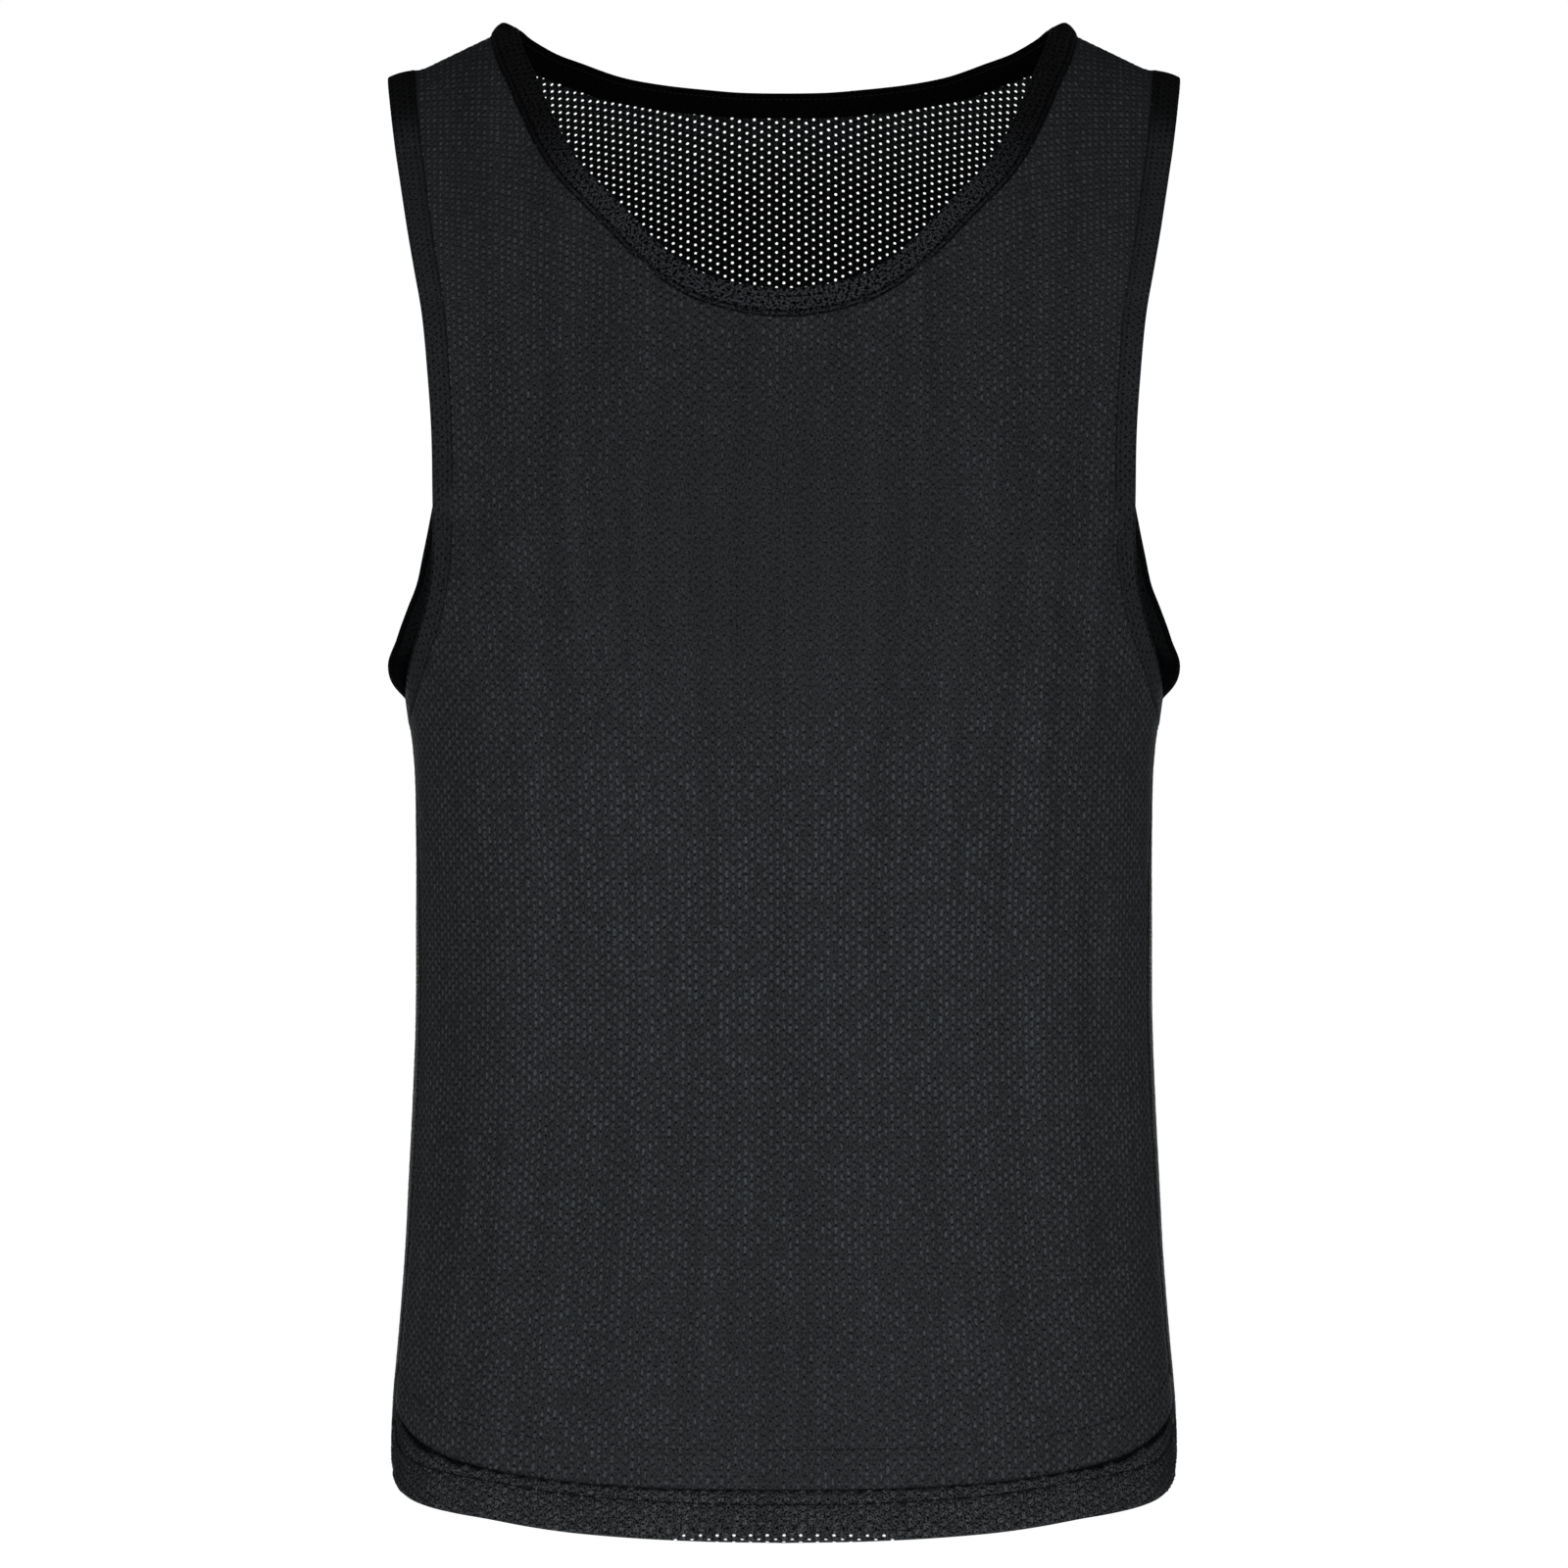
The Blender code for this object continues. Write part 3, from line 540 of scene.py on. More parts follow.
def panel_ply(side, outer, flat, heights, web, floors):
    """The outer or else the turned-up ply of a panel.

    Returns points on the form, their places in the cut and in the lattice, the knit's heights,
    the shades, and the faces kept.
    """
    turn = 1.0 if outer else -1.0
    x, y = flat.T
    if not outer:
        apart = smooth_step(y - hem_along(side, x), *SEE_THROUGH_HEIGHT)
        away = smooth_step(np.abs(x), *SEE_THROUGH_HALF)
        flat = flat + np.maximum(apart, away)[:, None] * PLY_SHIFT * CELL_SIZE[side]
        x, y = flat.T
    half = half_cut_at(side, y)
    across = np.clip(stretched(side, x, y), -half, half)
    hem = hem_along(side, across)
    top = np.zeros(len(flat))
    if not outer:
        top = hem + HEM_TURN_UP + HEM_SIDE_RISE * smooth_step(np.abs(across), *HEM_SIDE)
    along = np.clip(y, hem, top)
    living = (y > hem) & (y < top) & (np.abs(across) < half)
    inside = inside_bindings(side, across, along)
    reach = along - hem
    from_seam = half - np.abs(across)
    if outer:
        from_seam = np.minimum(from_seam, -along)
    roll = np.sqrt(1.0 - (1.0 - np.minimum(reach / HEM_ROLL, 1.0)) ** 2)
    knit = np.where(heights < 0.0, PIT_DEPTH * heights, RIDGE_LIFT * heights)
    groove = HEM_GROOVE * bell(reach - HEM_STITCH, HEM_GROOVE_HALF)
    lift = HEM_ROLL * (turn * roll - 1.0) + turn * (knit * roll - groove)
    lift -= SEAM_DIP * np.clip(1.0 - from_seam / SEAM_DIP_WIDTH, 0.0, 1.0) ** 2
    lift += crease_lift(side, across, along)
    cut = np.stack([across, hem + turn * reach], axis=1)
    closed = holes_closed(side, outer, across, along, reach, from_seam)
    kept = []
    for face in web + floors:
        good = living[face].any(axis=1) & inside[face].all(axis=1)
        good &= face_areas(cut, face) > LEAST_FACE
        if len(kept) >= len(web):
            good &= closed[face[:, 0]]
        kept.append(face[good][:, ::int(turn)])
    shade = panel_shade(side, outer, across, reach)
    # Only the colour reads these flattened heights: the painted shade and highlight of the front's knit
    # weaken
    if side == "front":
        heights = heights * (1.0 - fold_relief(FLAT_KNIT, across, level_at(side, along)))
    points = place(side, across, along, lift)
    return points, cut, flat / CELL_SIZE[side], heights, shade, kept


def drop_unused(*facts):
    """Only the points that a face uses: `facts` are facts of the points, then the faces."""
    *facts, faces = facts
    used = np.unique(np.hstack([face.ravel() for face in faces]))
    new_index = np.full(len(facts[0]), -1)
    new_index[used] = np.arange(len(used))
    return *(fact[used] for fact in facts), [new_index[face] for face in faces]


# --- pieces, UV maps and attributes

BAKE_MARGIN = 0.02  # free border of a UV map


def corner_points(mesh):
    """The point at each corner of each face."""
    corners = np.zeros(len(mesh.loops), int)
    mesh.loops.foreach_get("vertex_index", corners)
    return corners


def write_map(mesh, uv):
    """A UV map from the corners' places in a unit square."""
    uv = np.clip(BAKE_MARGIN + uv * (1.0 - 2.0 * BAKE_MARGIN), 0.0, 1.0)
    layer = mesh.uv_layers.new(name="OFBake")
    layer.data.foreach_set("uv", uv.astype(np.float32).ravel())


def write_knit(mesh, weave, knit, shade):
    """What the material reads: places counted in cells, the knit's height, and the painted shade that
    scales the colour.
    """
    weave = np.column_stack([weave, np.zeros(len(weave))])
    facts = [("weave", "FLOAT_VECTOR", "vector", weave), ("knit", "FLOAT", "value", knit),
             ("shade", "FLOAT", "value", shade)]
    for name, kind, field, values in facts:
        attribute = mesh.attributes.new(name, kind, "POINT")
        attribute.data.foreach_set(field, values.astype(np.float32).ravel())


def new_object(name, data):
    made = bpy.data.objects.new(name, data)
    bpy.context.scene.collection.objects.link(made)
    return made


def smooth_object(name, points, faces, material):
    """An object from points in metres and arrays of faces."""
    mesh = bpy.data.meshes.new(name)
    mesh.from_pydata(points.tolist(), [], sum((face.tolist() for face in faces), []))
    mesh.materials.append(material)
    mesh.shade_smooth()
    return new_object(name, mesh)


def add_piece(name, points, faces, material):
    """A piece of the visual model from points in millimetres."""
    piece = smooth_object(name, points * MILLIMETRE, faces, material)
    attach(piece, "root")
    return piece


# --- materials

# Linear colours of the knit: painted shade in the pits, the dyed yarn between them, and the yarn with a
# painted highlight on the ridges
PANEL_COLOURS = ((0.0042, 0.0046, 0.005), (0.0226, 0.0247, 0.0273), (0.056, 0.061, 0.067))
MESH_COLOURS = ((0.001, 0.001, 0.001), (0.0255, 0.0275, 0.0295), (0.056, 0.06, 0.065))
NECK_COLOURS = ((0.0003, 0.0003, 0.0004), (0.0236, 0.0248, 0.028), (0.048, 0.052, 0.06))
ARM_COLOURS = ((0.006, 0.0064, 0.007), (0.0224, 0.0242, 0.0269), (0.05, 0.053, 0.061))
# Those colours, the yarn's grains to a cell across and along, and their spread and contrast
KNITS = {
    "front": (PANEL_COLOURS, (3.6, 3.0), 0.12, 0.5),
    "back": (MESH_COLOURS, (4.4, 4.0), 0.07, 0.9),
    "neck_strip": (NECK_COLOURS, (3.8, 2.8), 0.06, 0.98),
    "arm_strip": (ARM_COLOURS, (4.2, 3.0), 0.10, 0.6),
}
# The seams' thread: black, and darkened further with painted shade of the ditches and grooves it lies in
SEAM_THREAD = (0.002, 0.0021, 0.0024)
TAPE_THREAD = (0.012, 0.0125, 0.012)
COLOUR_STOPS = ((0.0, 0), (0.36, 0), (0.5, 1), (0.78, 1), (1.0, 2))  # the knit's height, a colour
STREAKS = (0.22, 0.012)  # uneven tension streaks the columns of the knit
DYE = ((0.25, 0.75), (0.94, 1.06))  # ranges of a noise, and what they scale the colour by
TENSION = ((0.3, 0.7), (0.87, 1.13))
TWIST = ((0.0, 1.0), (0.6, 1.3))
ROUGHNESS = ((0.0, 1.0), (0.86, 0.58))  # in the pits and on the ridges


def fill(tree, made, *inputs, **named):
    """Feeds a node's first inputs in their order, and other inputs and properties by name."""
    fed = list(zip(made.inputs, inputs))
    for name, value in named.items():
        label = name.replace("_", " ")
        if label in made.inputs:
            fed.append((made.inputs[label], value))
        else:
            setattr(made, name, value)
    for socket, value in fed:
        if isinstance(value, bpy.types.NodeSocket):
            tree.links.new(value, socket)
        else:
            socket.default_value = value


def node(tree, kind, output, *inputs, **named):
    """One output of a new shader node."""
    made = tree.nodes.new("ShaderNode" + kind)
    fill(tree, made, *inputs, **named)
    return made.outputs[output]


def mapped(tree, value, at, to):
    """A value's range `at` stretched to the range `to`."""
    return node(tree, "MapRange", "Result", value, *at, *to)


def new_material(name, **named):
    """A material, its node tree and its shader with these inputs."""
    material = bpy.data.materials.new(name)
    material.use_nodes = True
    tree = material.node_tree
    shader = tree.nodes["Principled BSDF"]
    fill(tree, shader, **named)
    return material, tree, shader


def cloth_material(name, colours, grains, spread, contrast):
    """Knitted polyester: painted shade in the pits, a matt ground, glossier loops with a painted
    highlight, and uneven dye.

    The yarn has `grains` to each cell of the knit; a small `spread` makes them sharp.
    """
    material, tree, shader = new_material(name, Metallic=0.0, Specular_IOR_Level=0.03,
                                          Sheen_Weight=0.01, Sheen_Roughness=0.6)
    weave = node(tree, "Attribute", "Vector", attribute_name="weave")
    knit, shade = (node(tree, "Attribute", "Fac", attribute_name=fact)
                   for fact in ("knit", "shade"))
    strand, column = (node(tree, "VectorMath", 0, weave, (*scale, 1.0), operation="MULTIPLY")
                      for scale in (grains, STREAKS))
    on_bib = node(tree, "TexCoord", "Object")
    yarn = node(tree, "TexNoise", "Fac", strand, Scale=1.0, Detail=2.0, Roughness=0.65)
    streaks = node(tree, "TexNoise", "Fac", column, Scale=1.0, Detail=3.0, Roughness=0.6)
    patches = node(tree, "TexNoise", "Fac", on_bib, Scale=30.0, Detail=4.0, Roughness=0.55)
    twist = node(tree, "TexWave", "Fac", strand, Scale=1.6, Distortion=2.0,
                 bands_direction="DIAGONAL")

    height = mapped(tree, knit, (-1.0, 1.0), (0.0, 1.0))
    ramp = tree.nodes.new("ShaderNodeValToRGB")
    while len(ramp.color_ramp.elements) < len(COLOUR_STOPS):
        ramp.color_ramp.elements.new(0.5)
    for stop, (position, number) in zip(ramp.color_ramp.elements, COLOUR_STOPS):
        stop.position = position
        stop.color = (*colours[number], 1.0)
    fill(tree, ramp, height)

    grain = mapped(tree, yarn, (0.5 - spread, 0.5 + spread), (1.0 - contrast, 1.0 + contrast))
    depth = mapped(tree, patches, *DYE)
    for factor in (mapped(tree, streaks, *TENSION), grain, shade):
        depth = node(tree, "Math", 0, depth, factor, operation="MULTIPLY")
    colour = node(tree, "VectorMath", 0, ramp.outputs["Color"], operation="SCALE", Scale=depth)
    strands = node(tree, "Bump", "Normal", Strength=0.5, Distance=0.0003, Height=yarn)
    relief = node(tree, "Bump", "Normal", Strength=0.25, Distance=0.0002, Height=twist,
                  Normal=strands)
    fill(tree, shader, Base_Color=colour, Roughness=mapped(tree, height, *ROUGHNESS),
         Normal=relief)
    return material


def thread_material(name, colour):
    """Twisted sewing thread."""
    material, tree, shader = new_material(name, Roughness=0.62, Specular_IOR_Level=0.2)
    twist = node(tree, "TexWave", "Fac", node(tree, "TexCoord", "Object"), Scale=900.0,
                 Distortion=1.5, bands_direction="DIAGONAL")
    tint = node(tree, "VectorMath", 0, colour, operation="SCALE",
                Scale=mapped(tree, twist, *TWIST))
    relief = node(tree, "Bump", "Normal", Strength=0.5, Distance=0.0002, Height=twist)
    fill(tree, shader, Base_Color=tint, Normal=relief)
    return material


# --- panels


def build_panel(side, material, random):
    """A panel's outer ply and its turned-up hem, in one piece."""
    cells = lattice(side, random)
    plies = [drop_unused(*panel_ply(side, outer, *cells)) for outer in (True, False)]
    (*first, faces), (*second, more_faces) = plies
    points, cut, weave, knit, shade = map(np.concatenate, zip(first, second))
    faces = [np.vstack([a, b + len(first[0])]) for a, b in zip(faces, more_faces)]
    if side == "back":
        faces = [face[:, ::-1] for face in faces]
    panel = add_piece(side + "_cloth", points, faces, material)
    low, high = cut.min(axis=0), cut.max(axis=0)
    write_map(panel.data, ((cut - low) / (high - low).max())[corner_points(panel.data)])
    write_knit(panel.data, weave, knit, shade)
    return panel


# --- bindings

BINDING_STEP = 0.62  # spacing of a binding's cross-sections
BINDING_HIGH = 0.62  # the folded strip stands out from the panel
BINDING_LOW = 1.55  # and reaches this far inside it
BINDING_MIDDLE = (BINDING_HIGH - BINDING_LOW) / 2.0
BINDING_SEAM = 0.1  # its seam edge stays close to the panel
BINDING_TUCK = 0.35  # outside and inside
BINDING_PUFF_WIDTH = 1.0
BINDING_ROLL = 1.0  # width of its rolled free edge
BINDING_ROLL_ROWS = 7
BINDING_FACE_ROWS = 23
STRIP_COURSE = 4.34  # the strip's holes lie this far apart along it
STRIP_WALE = 2.8  # and their rows this far apart across it
STRIP_RIDGE = 0.5  # height of the knit between them
STRIP_PIT_RADIUS = 1.05  # the ply under them closes them
STRIP_PIT_FLOOR = 0.45  # share of the radius
STRIP_PIT_DEPTH = 0.35
WEAKEST_PIT = 0.5
SEAM_LINE_HALF = 1.15  # painted shade: the strip is dark at its seam edge
STITCH_LINE = 2.5  # and in the groove of the stitches this far from it
STITCH_LINE_HALF = 0.45
# Depths of that painted shade at the seam edge and at the stitches
SEAM_LINE_DEPTH = {"neck": (0.97, 0.85), "armhole": (0.4, 0.3)}
SHOULDER_SHADE = 0.24  # painted shade: the strips darken towards the shoulder, where they turn up away from the light
SHOULDER_SHADED = {"neck": (85.0, 158.0), "armhole": (36.0, 70.0)}
EDGE_SHADE = 0.25  # painted shade: the armhole's rolled free edge is dark beside the underarm
EDGE_SHADED = (70.0, 120.0)
EDGE_SHARES = (0.72, 0.9)  # shares of its width
TAPE_SHADE = 0.03  # painted shade: the inside of the back neck is made almost black
TIP_PUFF = 3.0  # at the top of the shoulder the strip puffs up,
TIP_ROLL = 3.2  # and its free edge rolls down
TIP_ROLL_SHARES = (0.55, 1.05)
TIP_REACH = 10.0
GATHER_HEIGHT = 0.3  # fine creases across the neck binding at the shoulder
GATHER_PITCH = 2.6
GATHER_REACH = 15.0
GATHER_SHARES = (0.3, 0.8)
SLANT_REACH = 26.0  # near the shoulder the armhole binding's holes are drawn out aslant
SLANT = 1.3
STRIPS = {"neck": (neck_line, NECK_BAND), "armhole": (armhole_line, ARM_BAND)}
LANE_GAP = 1.03  # a strip's UV map lies in lanes, with room at their ends
LANE_WIDTH = 0.9  # and between them


def binding_section(width):
    """A folded binding's cross-section, from its outer seam edge round to its inner one.

    Returns each row's share of the width, its lift, and its distance in the strip.
    """
    face = np.linspace(0.0, width - BINDING_ROLL, BINDING_FACE_ROWS)
    puff = smooth_step(face, 0.0, BINDING_PUFF_WIDTH)
    outer_lift = BINDING_SEAM + (BINDING_HIGH - BINDING_SEAM) * puff
    inner_lift = -BINDING_LOW + BINDING_TUCK * (1.0 - puff)
    radius = (BINDING_HIGH + BINDING_LOW) / 2.0
    angle = np.linspace(0.0, np.pi, BINDING_ROLL_ROWS + 2)[1:-1]
    roll = width - BINDING_ROLL + BINDING_ROLL * np.sin(angle)
    roll_lift = BINDING_MIDDLE + radius * np.cos(angle)
    across = np.hstack([face, roll, face[::-1]])
    lift = np.hstack([outer_lift, roll_lift, inner_lift[::-1]])
    return across / width, lift, chord_lengths(across, lift)


def strip_pits(run, depth, slant, random):
    """Height of the strip's knit, from -1 in a pit up to its ridges; some pits are shallow."""
    row = np.round(depth / STRIP_WALE)
    up = depth - row * STRIP_WALE
    shifted = run + 0.5 * STRIP_COURSE * (row % 2) + slant * up
    column = np.round(shifted / STRIP_COURSE)
    right = shifted - column * STRIP_COURSE
    distance = np.hypot(right, up / (1.0 + np.abs(slant)))
    pit = 1.0 - smooth_step(distance, STRIP_PIT_FLOOR * STRIP_PIT_RADIUS, STRIP_PIT_RADIUS)
    strengths = random.uniform(WEAKEST_PIT, 1.0, (int(column.max()) + 1, int(row.max()) + 1))
    strength = strengths[column.astype(int), row.astype(int)]
    return STRIP_RIDGE - (1.0 + STRIP_RIDGE) * pit * strength


def strip_shade(kind, from_edge, share, run):
    """Painted shade: dark lines along a strip's seam and stitches, and its darker ends."""
    seam, stitch = SEAM_LINE_DEPTH[kind]
    lines = 1.0 - seam * bell(from_edge, SEAM_LINE_HALF)
    lines *= 1.0 - stitch * bell(from_edge - STITCH_LINE, STITCH_LINE_HALF)
    # painted shade towards the shoulder
    bright = smooth_step(run[-1] - run, *SHOULDER_SHADED[kind])[:, None]
    shade = lines * (SHOULDER_SHADE + (1.0 - SHOULDER_SHADE) * bright)
    if kind == "armhole":
        # painted shade on the rolled free edge beside the underarm
        near_underarm = 1.0 - smooth_step(run, *EDGE_SHADED)[:, None]
        shade *= 1.0 - (1.0 - EDGE_SHADE) * (smooth_step(share, *EDGE_SHARES) * near_underarm)
    return shade


def binding_half(kind, side, hand, random):
    """One stretch of a binding, from its centre or underarm end up to the shoulder.

    Returns its points, their places along and across the strip, the knit's heights and the shade.
    """
    line_of, width = STRIPS[kind]
    seam, free = line_of(side, width), line_of(side, 0.0)
    run, index = chord_lengths(*free.T), np.arange(EDGE_SAMPLES)
    at = np.interp(np.linspace(0.0, run[-1], int(run[-1] / BINDING_STEP) + 1), run, index)
    seam, free = read_line(seam, index, at), read_line(free, index, at)
    share, lift, depth = binding_section(width)
    flat = (1.0 - share)[None, :, None] * seam[:, None] + share[None, :, None] * free[:, None]
    run = chord_lengths(*free.T)
    below_shoulder = (run[-1] - run)[:, None]
    slant = 0.0 if kind == "neck" else SLANT * bell(below_shoulder, SLANT_REACH)
    knit = strip_pits(run[:, None], depth[None, :], slant, random)
    height = lift + np.sign(lift - BINDING_MIDDLE) * STRIP_PIT_DEPTH * np.minimum(knit, 0.0)
    if kind == "neck":
        fading = bell(below_shoulder, GATHER_REACH) * smooth_step(share, *GATHER_SHARES)
        height += GATHER_HEIGHT * fading * np.sin(2.0 * np.pi * run / GATHER_PITCH)[:, None]
        puff = TIP_PUFF * np.sin(np.pi * share) - TIP_ROLL * smooth_step(share, *TIP_ROLL_SHARES)
        height += puff * bell(below_shoulder, TIP_REACH)
    points = place(side, hand * flat[..., 0], flat[..., 1], height)
    shade = strip_shade(kind, np.minimum(depth, depth[-1] - depth), share, run)
    # painted shade on the inside of the back neck
    if kind == "neck" and side == "back":
        shade[:, depth > 0.5 * depth[-1]] = TAPE_SHADE
    return points, run, depth, knit, shade


def build_binding(name, walk, material, flip):
    """A closed band from stretches that follow each other round an opening.

    `walk` holds (binding_half result, backwards) in their order. Returns the band and the length,
    width and area of its cut.
    """
    stretches = []
    length = 0.0
    for (points, run, depth, knit, shade), backwards in walk:
        if backwards:
            points, run, knit, shade = points[::-1], (run[-1] - run)[::-1], knit[::-1], shade[::-1]
        stretches.append([fact[:-1] for fact in (points, length + run, knit, shade)])
        length += run[-1]
    points, run, knit, shade = (np.concatenate(facts) for facts in zip(*stretches))
    rings, rows = knit.shape
    index = np.arange(rings * rows).reshape(rings, rows)
    after = np.roll(index, -1, axis=0)
    faces = np.stack([index[:, :-1], index[:, 1:], after[:, 1:], after[:, :-1]], axis=-1)
    faces = faces.reshape(-1, 4)
    if flip:
        faces = faces[:, ::-1]
    cut = np.stack(np.broadcast_arrays(run[:, None], depth), axis=-1).reshape(-1, 2)
    band = add_piece(name, points.reshape(-1, 3), [faces], material)
    write_knit(band.data, cut / np.array([STRIP_COURSE, STRIP_WALE]), knit, shade)
    strip_map(band.data, cut, rows, length)
    return band, (length, depth[-1], length * depth[-1])


def strip_map(mesh, cut, rows, length):
    """The strip laid out in short lanes, one beside the other, as its UV map."""
    depth = cut[rows - 1, 1]
    lanes = int(np.ceil(np.sqrt(length / depth)))
    lane_length = length / lanes
    first_run = np.repeat(cut[::rows, 0], rows - 1)
    lane = np.repeat(np.minimum(np.floor(first_run / lane_length), lanes - 1), 4)
    run, across = cut[corner_points(mesh)].T
    run = np.where(run < np.repeat(first_run, 4) - length / 2.0, run + length, run)
    write_map(mesh, np.stack([(run - lane * lane_length) / (lane_length * LANE_GAP),
                              (lane + LANE_WIDTH * across / depth) / lanes], axis=1))


def build_neck_binding(material, random):
    front_right, front_left, back_right, back_left = (
        binding_half("neck", side, hand, random) for side in SIDES for hand in HANDS)
    walk = [(front_right, True), (front_left, False), (back_left, True), (back_right, False)]
    return build_binding("neck_binding_cloth", walk, material, flip=False)


def build_armhole_binding(name, hand, material, random):
    front, back = (binding_half("armhole", side, hand, random) for side in SIDES)
    return build_binding(name, [(front, False), (back, True)], material,
                         flip=hand < 0.0)


# --- stitches

STITCH_SIDES = 5
STITCH_RINGS = ((-0.5, 0.35), (-0.32, 1.0), (0.32, 1.0), (0.5, 0.35))  # shares of length, radius
SEAM_STITCH = dict(length=1.9, spacing=2.7, radius=0.2, wobble=0.06)
DITCH_STITCH = dict(length=3.2, spacing=3.7, radius=0.26, wobble=0.05)
HEM_END = 0.6  # the hem's rows end this far before the side seam


def hem_line(side, height):
    """The line `height` above the hem fold, from the centre to the side seam."""
    across = np.linspace(0.0, HEM[side]["across"][-1], EDGE_SAMPLES)
    along = hem_along(side, across) + height
    return np.stack([np.minimum(across, half_cut_at(side, along) - HEM_END), along], axis=1)


# Rows of stitches: the line, its distance from edge or fold, its height over the form, the stitch
HEM_ROWS = [
    (hem_line, HEM_STITCH, -2.0 * HEM_ROLL - 0.1, DITCH_STITCH),
    (hem_line, HEM_STITCH, -0.1, SEAM_STITCH),
]
NECK_ROWS = [
    (neck_line, NECK_BAND + 0.1, 0.12, DITCH_STITCH),
    (neck_line, NECK_BAND - 1.7, 0.66, SEAM_STITCH),
    (neck_line, 2.6, -1.66, SEAM_STITCH),
]
ARM_ROWS = [
    (armhole_line, ARM_BAND + 0.1, 0.12, DITCH_STITCH),
    (armhole_line, ARM_BAND - 2.0, -1.66, SEAM_STITCH),
]


def stitch_row(side, hand, line, lift, stitch, random):
    """Small closed bodies of thread along a line of the flat cut: points and faces."""
    run = chord_lengths(*line.T)
    count = max(int(run[-1] / stitch["spacing"]), 2)
    at = (np.arange(count) + 0.5) * run[-1] / count
    middle = read_line(line, run, at)
    x, y = unit(read_line(np.gradient(line, axis=0), run, at)).T
    turn = random.uniform(-stitch["wobble"], stitch["wobble"], count)
    cosine, sine = np.cos(turn), np.sin(turn)
    direction = np.stack([x * cosine - y * sine, x * sine + y * cosine], axis=1)

    def placed(share, height):
        across, along = (middle + direction * stitch["length"] * share).T
        return place(side, hand * across, along, np.full(count, height))

    start, end = placed(-0.5, lift), placed(0.5, lift)
    forward = unit(end - start)
    sideways = unit(np.cross(forward, placed(0.0, lift + 1.0) - placed(0.0, lift)))
    up = np.cross(sideways, forward)
    angles = (np.arange(STITCH_SIDES) * 2.0 * np.pi / STITCH_SIDES)[None, :, None]
    radial = np.cos(angles) * sideways[:, None] + np.sin(angles) * up[:, None]
    rings = [((start + end) / 2.0 + forward * stitch["length"] * share)[:, None]
             + radial * stitch["radius"] * radius for share, radius in STITCH_RINGS]
    points = np.stack(rings, axis=1)
    index = np.arange(points[..., 0].size).reshape(points.shape[:3])
    after = np.roll(index, -1, axis=2)
    sides = np.stack([index[:, :-1], after[:, :-1], after[:, 1:], index[:, 1:]], axis=-1)
    caps = np.stack([index[:, 0, ::-1], index[:, -1]], axis=1)
    return points.reshape(-1, 3), sides.reshape(-1, 4), caps.reshape(-1, STITCH_SIDES)


def stitch_rows(rows, sides, hands, random):
    """Each row of stitches, for each side and hand in turn."""
    return [[stitch_row(side, hand, line_of(side, distance), lift, stitch, random)
             for line_of, distance, lift, stitch in rows]
            for side in sides for hand in hands]


def build_stitches(name, groups, material):
    """One joined piece from several groups of rows of stitches."""
    points, sides, caps = zip(*sum(groups, []))
    starts = np.cumsum([0, *map(len, points[:-1])])
    faces = [np.vstack([row + start for row, start in zip(rows, starts)])
             for rows in (sides, caps)]
    return add_piece(name, np.vstack(points), faces, material)


# --- studio

SWEEP_RADIUS = 6.5
SWEEP_MIDDLE = 0.0005  # radius of its first ring
SWEEP_CORNER = 2.0
SWEEP_HEIGHT = 7.0
FLOOR_LEVEL = -1.42  # the wearer's shoulders are this high
SWEEP_SIDES = 96
SWEEP_BEND_STEPS = 12
CAMERA_DISTANCE = 3.2
CAMERA_LEVEL = -0.33525
PHOTO_SIDE = 0.72  # width of the photograph's frame at the bib
SENSOR_WIDTH = 36.0
AIR_LIGHT = 0.22
WHITE = (1.0, 1.0, 1.0, 1.0)
PAPER = (0.25, 0.25, 0.25, 1.0)
SOFTBOX_TARGET = (0.0, 0.0, -0.33)

# Low softboxes in metres and watts, two before the bib and two behind it
SOFTBOXES = table("x y z size power", [
    (-0.65, -2.1, -1.32, 1.1, 19.5), (0.65, -2.1, -1.32, 1.1, 19.5), (-0.5, 2.4, -0.9, 1.1, 24),
    (0.5, 2.4, -0.9, 1.1, 24)])


def build_sweep():
    """A pale floor that curves up into a round wall."""
    bend = np.linspace(-np.pi / 2.0, 0.0, SWEEP_BEND_STEPS)
    radius = np.hstack([SWEEP_MIDDLE, SWEEP_RADIUS - SWEEP_CORNER + SWEEP_CORNER * np.cos(bend),
                        SWEEP_RADIUS])[:, None]
    level = np.hstack([0.0, SWEEP_CORNER + SWEEP_CORNER * np.sin(bend), SWEEP_HEIGHT])[:, None]
    angle = np.arange(SWEEP_SIDES) * 2.0 * np.pi / SWEEP_SIDES
    points = np.stack(np.broadcast_arrays(radius * np.cos(angle), radius * np.sin(angle),
                                          FLOOR_LEVEL + level), axis=-1)
    index = np.arange(points[..., 0].size).reshape(-1, SWEEP_SIDES)
    after = np.roll(index, -1, axis=1)
    faces = np.stack([index[:-1], after[:-1], after[1:], index[1:]], axis=-1).reshape(-1, 4)
    paper = new_material("studio_paper", Base_Color=PAPER, Roughness=0.9, Emission_Color=WHITE,
                         Emission_Strength=0.94)[0]
    sweep = smooth_object("studio_sweep", points.reshape(-1, 3), [faces], paper)
    sweep.visible_diffuse = False
    sweep.visible_glossy = False
    sweep.visible_transmission = False
    sweep.visible_shadow = False


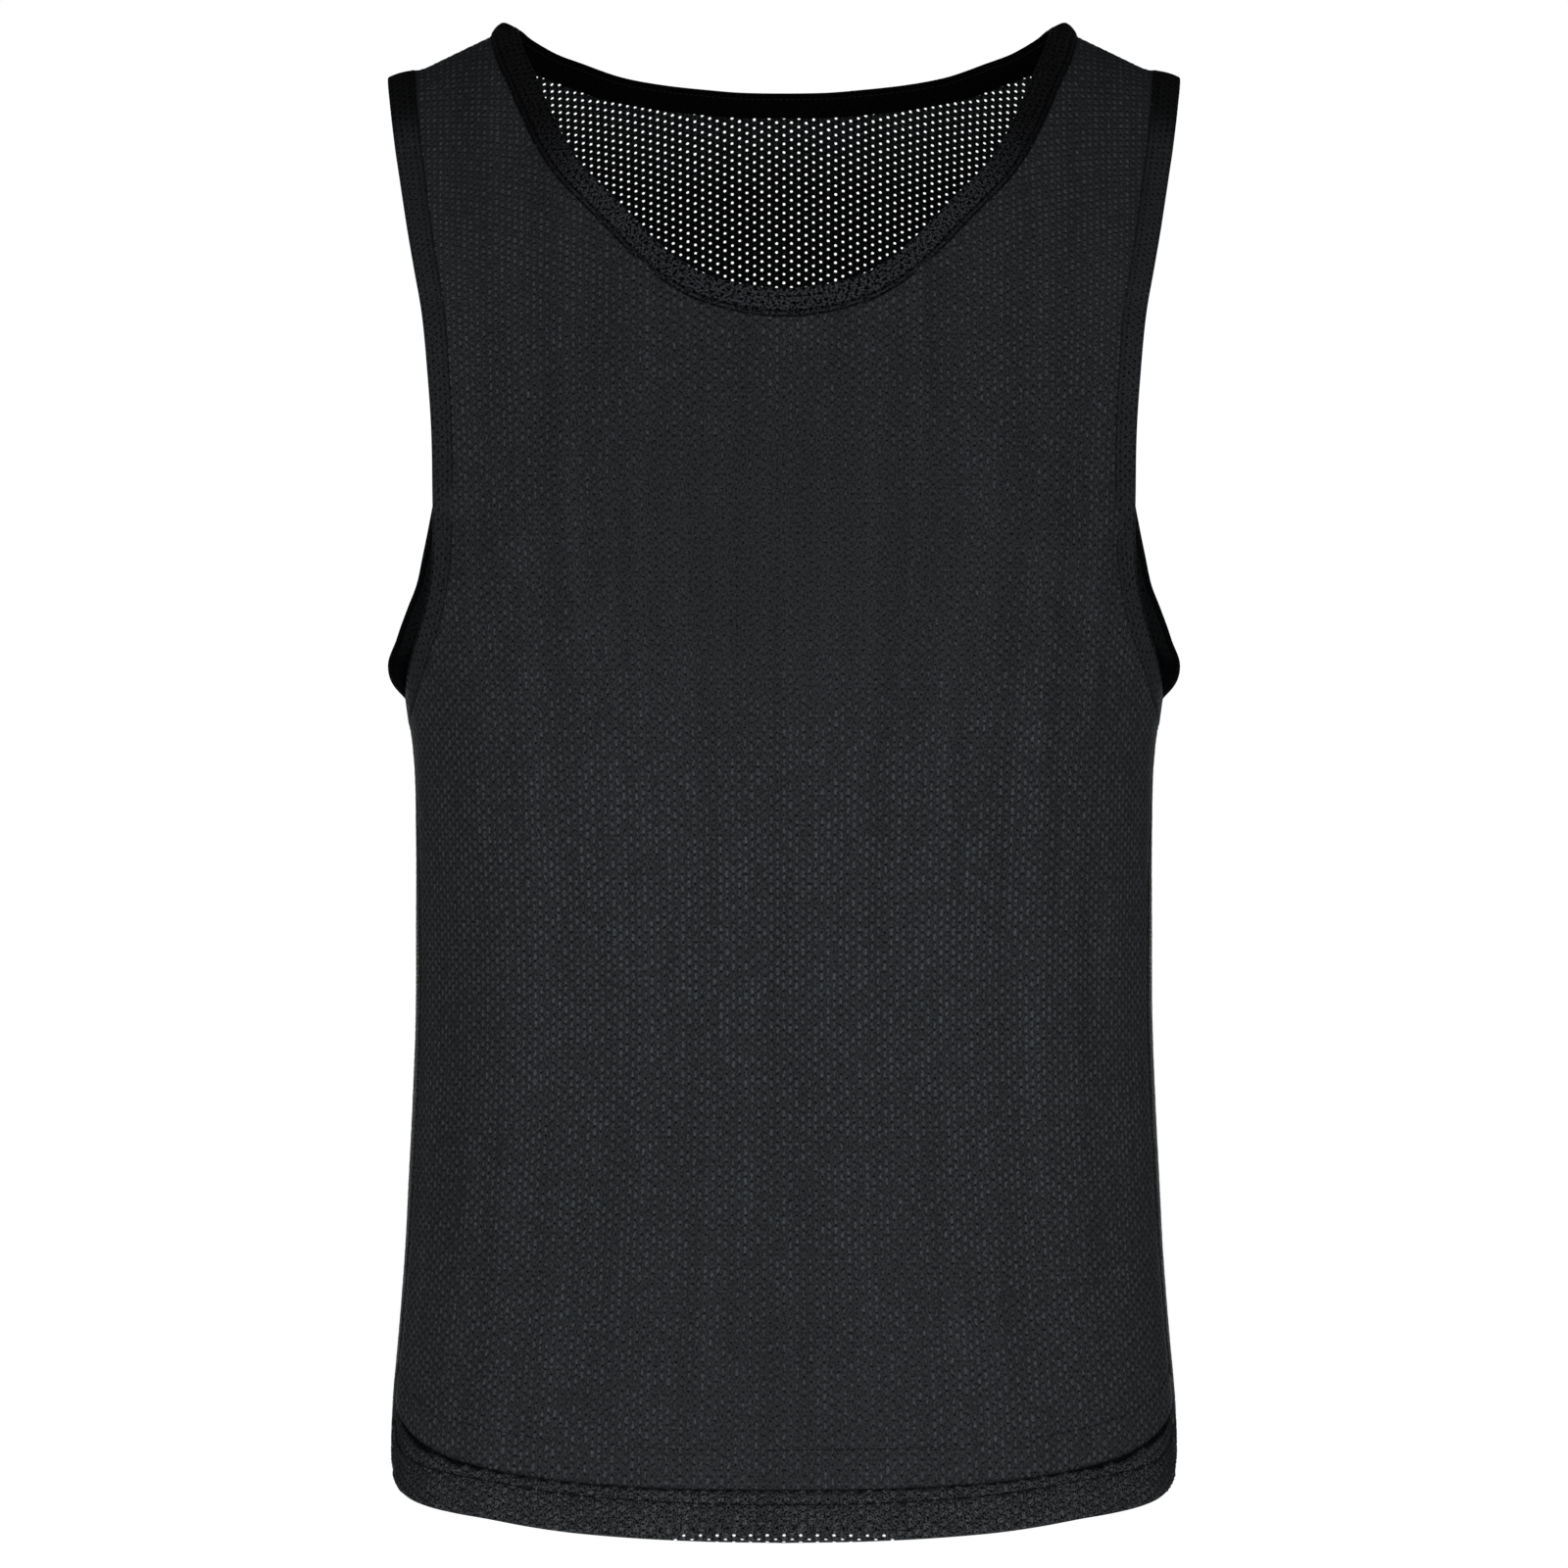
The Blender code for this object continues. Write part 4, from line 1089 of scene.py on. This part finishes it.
def add_softbox(name, row):
    """A square softbox facing the bib."""
    light = bpy.data.lights.new(name, "AREA")
    light.shape = "SQUARE"
    light.size = row["size"]
    light.energy = row["power"]
    lamp = new_object(name, light)
    lamp.location = (row["x"], row["y"], row["z"])
    towards = Vector(SOFTBOX_TARGET) - lamp.location
    lamp.rotation_euler = towards.to_track_quat("-Z", "Y").to_euler()


def build_studio():
    scene = bpy.context.scene
    scene.view_settings.view_transform = "Standard"
    world = bpy.data.worlds.new("studio_air")
    world.use_nodes = True
    tree = world.node_tree
    fill(tree, tree.nodes["Background"], Color=WHITE, Strength=AIR_LIGHT)
    scene.world = world
    build_sweep()
    for count, row in enumerate(SOFTBOXES):
        add_softbox(f"softbox_{count}", row)
    camera = new_object("camera", bpy.data.cameras.new("camera"))
    camera.data.sensor_width = SENSOR_WIDTH
    camera.data.lens = SENSOR_WIDTH * CAMERA_DISTANCE / PHOTO_SIDE
    camera.location = (0.0, -CAMERA_DISTANCE, CAMERA_LEVEL)
    camera.rotation_euler = (np.pi / 2.0, 0.0, 0.0)
    scene.camera = camera


# --- the bib

AREA_STEP = 1.5  # grid on which the area of a cut is counted


def panel_cut(side):
    """Width, length and area of a panel's cut, with the cloth of its turned-up hem."""
    half = HEM[side]["across"][-1]
    across, along = np.meshgrid(np.arange(0.0, half, AREA_STEP),
                                np.arange(hem_along(side, 0.0), 0.0, AREA_STEP))
    inner, outer = cut_limits(side, along, 0.0, 0.0, 0.0, half_cut_at(side, along))
    inside = (across < outer) & (across > inner) & (along > hem_along(side, across))
    area = 2.0 * (inside.sum() * AREA_STEP ** 2 + half * HEM_TURN_UP)
    return 2.0 * half, HEM_TURN_UP - hem_along(side, 0.0), area


def main():
    random = np.random.default_rng(SEED)
    knits = {name: cloth_material(name + "_knit", *look) for name, look in KNITS.items()}
    dark_thread = thread_material("seam_thread", SEAM_THREAD)
    light_thread = thread_material("tape_thread", TAPE_THREAD)

    for side in SIDES:
        panel = build_panel(side, knits[side], random)
        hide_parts(side + "_panel")
        groups = stitch_rows(HEM_ROWS, [side], HANDS, random)
        thread = build_stitches(side + "_hem_stitches", groups, dark_thread)
        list(panel_cut(side))

    neck, strip = build_neck_binding(knits["neck_strip"], random)
    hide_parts("neck_binding")
    groups = stitch_rows(NECK_ROWS, SIDES, HANDS, random)
    seam_groups, tape_groups = [group[:2] for group in groups], [group[2:] for group in groups]
    threads = [build_stitches("neck_stitches", seam_groups, dark_thread),
               build_stitches("neck_tape_stitches", tape_groups, light_thread)]

    for label, hand in (("left", -1.0), ("right", 1.0)):
        arm, strip = build_armhole_binding("armhole_cloth_" + label, hand, knits["arm_strip"], random)
        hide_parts("armhole_binding_" + label)
        groups = stitch_rows(ARM_ROWS, SIDES, [hand], random)
        thread = build_stitches("armhole_stitches_" + label, groups, dark_thread)
    build_studio()


main()
